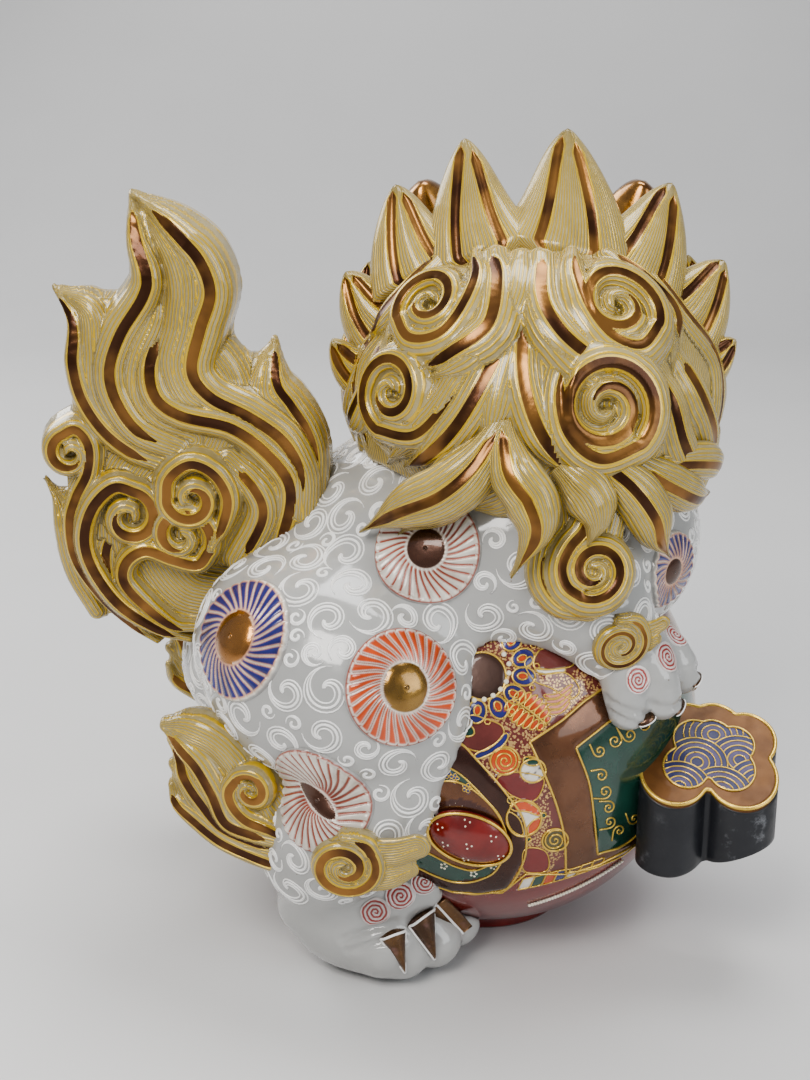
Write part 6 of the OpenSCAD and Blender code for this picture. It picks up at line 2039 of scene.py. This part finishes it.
def make_mouth():
    bag = Bag()
    yc = HY + 62
    for s in (-1, 1):
        fang(bag, (HX + s * 17, yc + 20, HZ - 34), (HX + s * 18, yc + 22, HZ - 50), 4.2)
        fang(bag, (HX + s * 14, yc + 14, HZ - 56), (HX + s * 15, yc + 16, HZ - 43), 3.6)
    for i in range(-3, 4):
        a = i * 0.16
        x, y = HX + 22 * math.sin(a * 2.1), yc + 20 - abs(i) * 1.0
        p = np.array([[x, y, HZ - 33], [x, y + 0.6, HZ - 38], [x, y + 0.4, HZ - 41.5]])
        add_tube(bag, p, np.array([2.7, 2.7, 1.9]), side=10)
        x = HX + 17 * math.sin(a * 2.0)
        p = np.array([[x, y - 7, HZ - 57], [x, y - 6.6, HZ - 53], [x, y - 6.6, HZ - 49.5]])
        add_tube(bag, p, np.array([2.2, 2.2, 1.5]), side=10)
    bag.make("teeth_rows", ["teeth"], "ivory_enamel", [M_IVORY])

    bag = Bag()
    p = resample(curve([(HX, HY + 46, HZ - 51), (HX, HY + 62, HZ - 47), (HX, HY + 78, HZ - 48),
                        (HX, HY + 86, HZ - 53)], 8), 30)
    t = np.linspace(0, 1, 30)
    w = 12 * np.sqrt(np.clip(1 - t ** 5, 0, 1)) * (0.8 + 0.2 * np.sin(t * 3)) + 0.2
    m = 24
    a = circle(m)
    ring = (p[:, None] + arr(1, 0, 0) * (w[:, None] * np.cos(a))[..., None]
            + arr(0, 0, 1) * (3.4 * np.minimum(1, w / 8)[:, None] * np.sin(a)
                              - 1.2 * np.exp(-(np.cos(a) / 0.22) ** 2) * (np.sin(a) > 0))[..., None])
    v = np.vstack([ring.reshape(-1, 3), p[:1], p[-1:]])
    mesh_object("tongue_blade", v, capped(30, m), ["tongue"], [M_RED])

    for s, side in ((-1, "right"), (1, "left")):
        c = arr(HX + s * 23, HY + 57, HZ + 9)
        look = unit(arr(s * 0.10, 1, -0.05))
        nz, na = 60, 96
        th = np.linspace(0.01, math.pi - 0.01, nz)
        TH, PH = np.meshgrid(th, circle(na), indexing="ij")
        e1 = unit(np.cross(look, arr(0, 0, 1)))
        e2 = np.cross(e1, look)
        d = (look * np.cos(TH)[..., None] + e1 * (np.sin(TH) * np.cos(PH))[..., None]
             + e2 * (np.sin(TH) * np.sin(PH))[..., None])
        bulge = 11.6 + 0.5 * (TH < 0.50)
        v = c + d * bulge[..., None] * arr(1, 1, 0.92)
        col = np.zeros((nz, na, 3)) + arr(0.80, 0.77, 0.70)
        col[TH < 0.62] = (0.03, 0.02, 0.015)
        col[TH < 0.56] = (0.55, 0.36, 0.08)
        col[TH < 0.30] = (0.008, 0.008, 0.01)
        vv = np.vstack([v.reshape(-1, 3), (c + look * 12)[None], (c - look * 11.5)[None]])
        m = nz * na
        mesh_object(f"eyeball_{side}", vv, capped(nz, na), [f"eye_{side}"], [M_KIKU],
                    floats={"metal": np.zeros(m + 2), "rough": np.full(m + 2, 0.08)},
                    colours={"paint": np.vstack([col.reshape(-1, 3), [[0.008, 0.008, 0.01]], [[0.8, 0.77, 0.7]]])})
    # painted lids and nostril rims in iron red
    bag = Bag()
    for s in (-1, 1):
        c = arr(HX + s * 23, HY + 57, HZ + 9)
        for z, hgt, r in ((1, 8.8, 1.5), (-1, 8.0, 1.2)):
            t = np.linspace(-1.25, 1.25, 26)
            p = np.array([c + arr(12.6 * math.sin(a), 8.2 * math.cos(a * 0.8) + 1.2,
                                  z * hgt * math.cos(a * 0.95)) for a in t])
            add_tube(bag, p, r * np.sin(np.linspace(0.3, math.pi - 0.3, 26)), side=8)
        t = np.linspace(0, 2 * math.pi, 24)
        q = on_skin(arr(HX + s * 13, HY + 96, HZ - 12))[0]
        add_tube(bag, q + np.stack([4.8 * np.cos(t), np.zeros(24), 4.4 * np.sin(t)], 1), 0.7, side=6)
    bag.make("painted_lids_and_nostrils", [], "red_enamel", [M_RED])


make_claws()
make_mouth()

# ---------------------------------------------------------------- stage, light and camera
def stage_floor():
    n = Net("pale_sweep")
    c = n.mix(n.noise(0.6, 2.0), (0.66, 0.655, 0.65), (0.60, 0.595, 0.59))
    m = n.set(c, 0.45, 0.0)
    w, front, back, rise, r = 3.0, -2.0, 1.6, 2.4, 0.5      # metres
    prof = [(front, 0.0), (back - r, 0.0)]
    prof += [(back - r + r * math.sin(a), r - r * math.cos(a)) for a in np.linspace(0.1, math.pi / 2, 10)]
    prof += [(back, rise)]
    v, f = [], []
    z0 = float(foot_lo.z)
    for y, z in prof:
        v += [(-w, y, z + z0), (w, y, z + z0)]
    for i in range(len(prof) - 1):
        f.append((2 * i, 2 * i + 1, 2 * i + 3, 2 * i + 2))
    me = bpy.data.meshes.new("sweep")
    me.from_pydata(v, [], f)
    me.materials.append(m)
    for p in me.polygons:
        p.use_smooth = True
    ob = bpy.data.objects.new("sweep", me)
    bpy.context.scene.collection.objects.link(ob)


def area(name, loc, aim, size, power, colour=(1, 1, 1)):
    d = bpy.data.lights.new(name, "AREA")
    d.shape = "RECTANGLE"
    d.size, d.size_y = size
    d.energy = power
    d.color = colour
    o = bpy.data.objects.new(name, d)
    o.location = loc
    o.rotation_euler = (Vector(aim) - Vector(loc)).to_track_quat("-Z", "Y").to_euler()
    bpy.context.scene.collection.objects.link(o)


def light_and_camera():
    world = bpy.data.worlds.new("soft_room")
    bpy.context.scene.world = world
    world.use_nodes = True
    bg = world.node_tree.nodes["Background"]
    bg.inputs[0].default_value = (0.80, 0.83, 0.88, 1)
    bg.inputs[1].default_value = 0.42
    aim = (-0.03, 0.0, 0.17)
    area("key", (-0.55, -1.0, 1.25), aim, (0.7, 0.7), 17, (1.0, 0.97, 0.93))
    area("fill", (1.1, -0.9, 0.7), aim, (0.9, 0.9), 8, (0.95, 0.98, 1.0))
    area("top", (0.1, 0.25, 1.35), aim, (0.9, 0.5), 10)
    area("back", (-0.9, 0.9, 0.8), aim, (0.7, 0.7), 7)
    scale = UNIT * 1000
    target = Vector((-0.038, 0.026, 0.1725)) * scale
    e, dist = math.radians(VIEW_TILT), 0.9 * scale
    cam = bpy.data.cameras.new("camera")
    ob = bpy.data.objects.new("camera", cam)
    ob.location = target + Vector((0, -math.cos(e), math.sin(e))) * dist
    ob.rotation_euler = (target - ob.location).to_track_quat("-Z", "Y").to_euler()
    cam.sensor_fit = "VERTICAL"
    cam.sensor_height = 36
    cam.lens = cam.sensor_height * LENS_RATIO
    cam.clip_start, cam.clip_end = 0.01, 20
    bpy.context.scene.collection.objects.link(ob)
    bpy.context.scene.camera = ob
    bpy.context.scene.view_settings.view_transform = "AgX"
    bpy.context.scene.view_settings.look = "AgX - Medium High Contrast"


stage_floor()
light_and_camera()
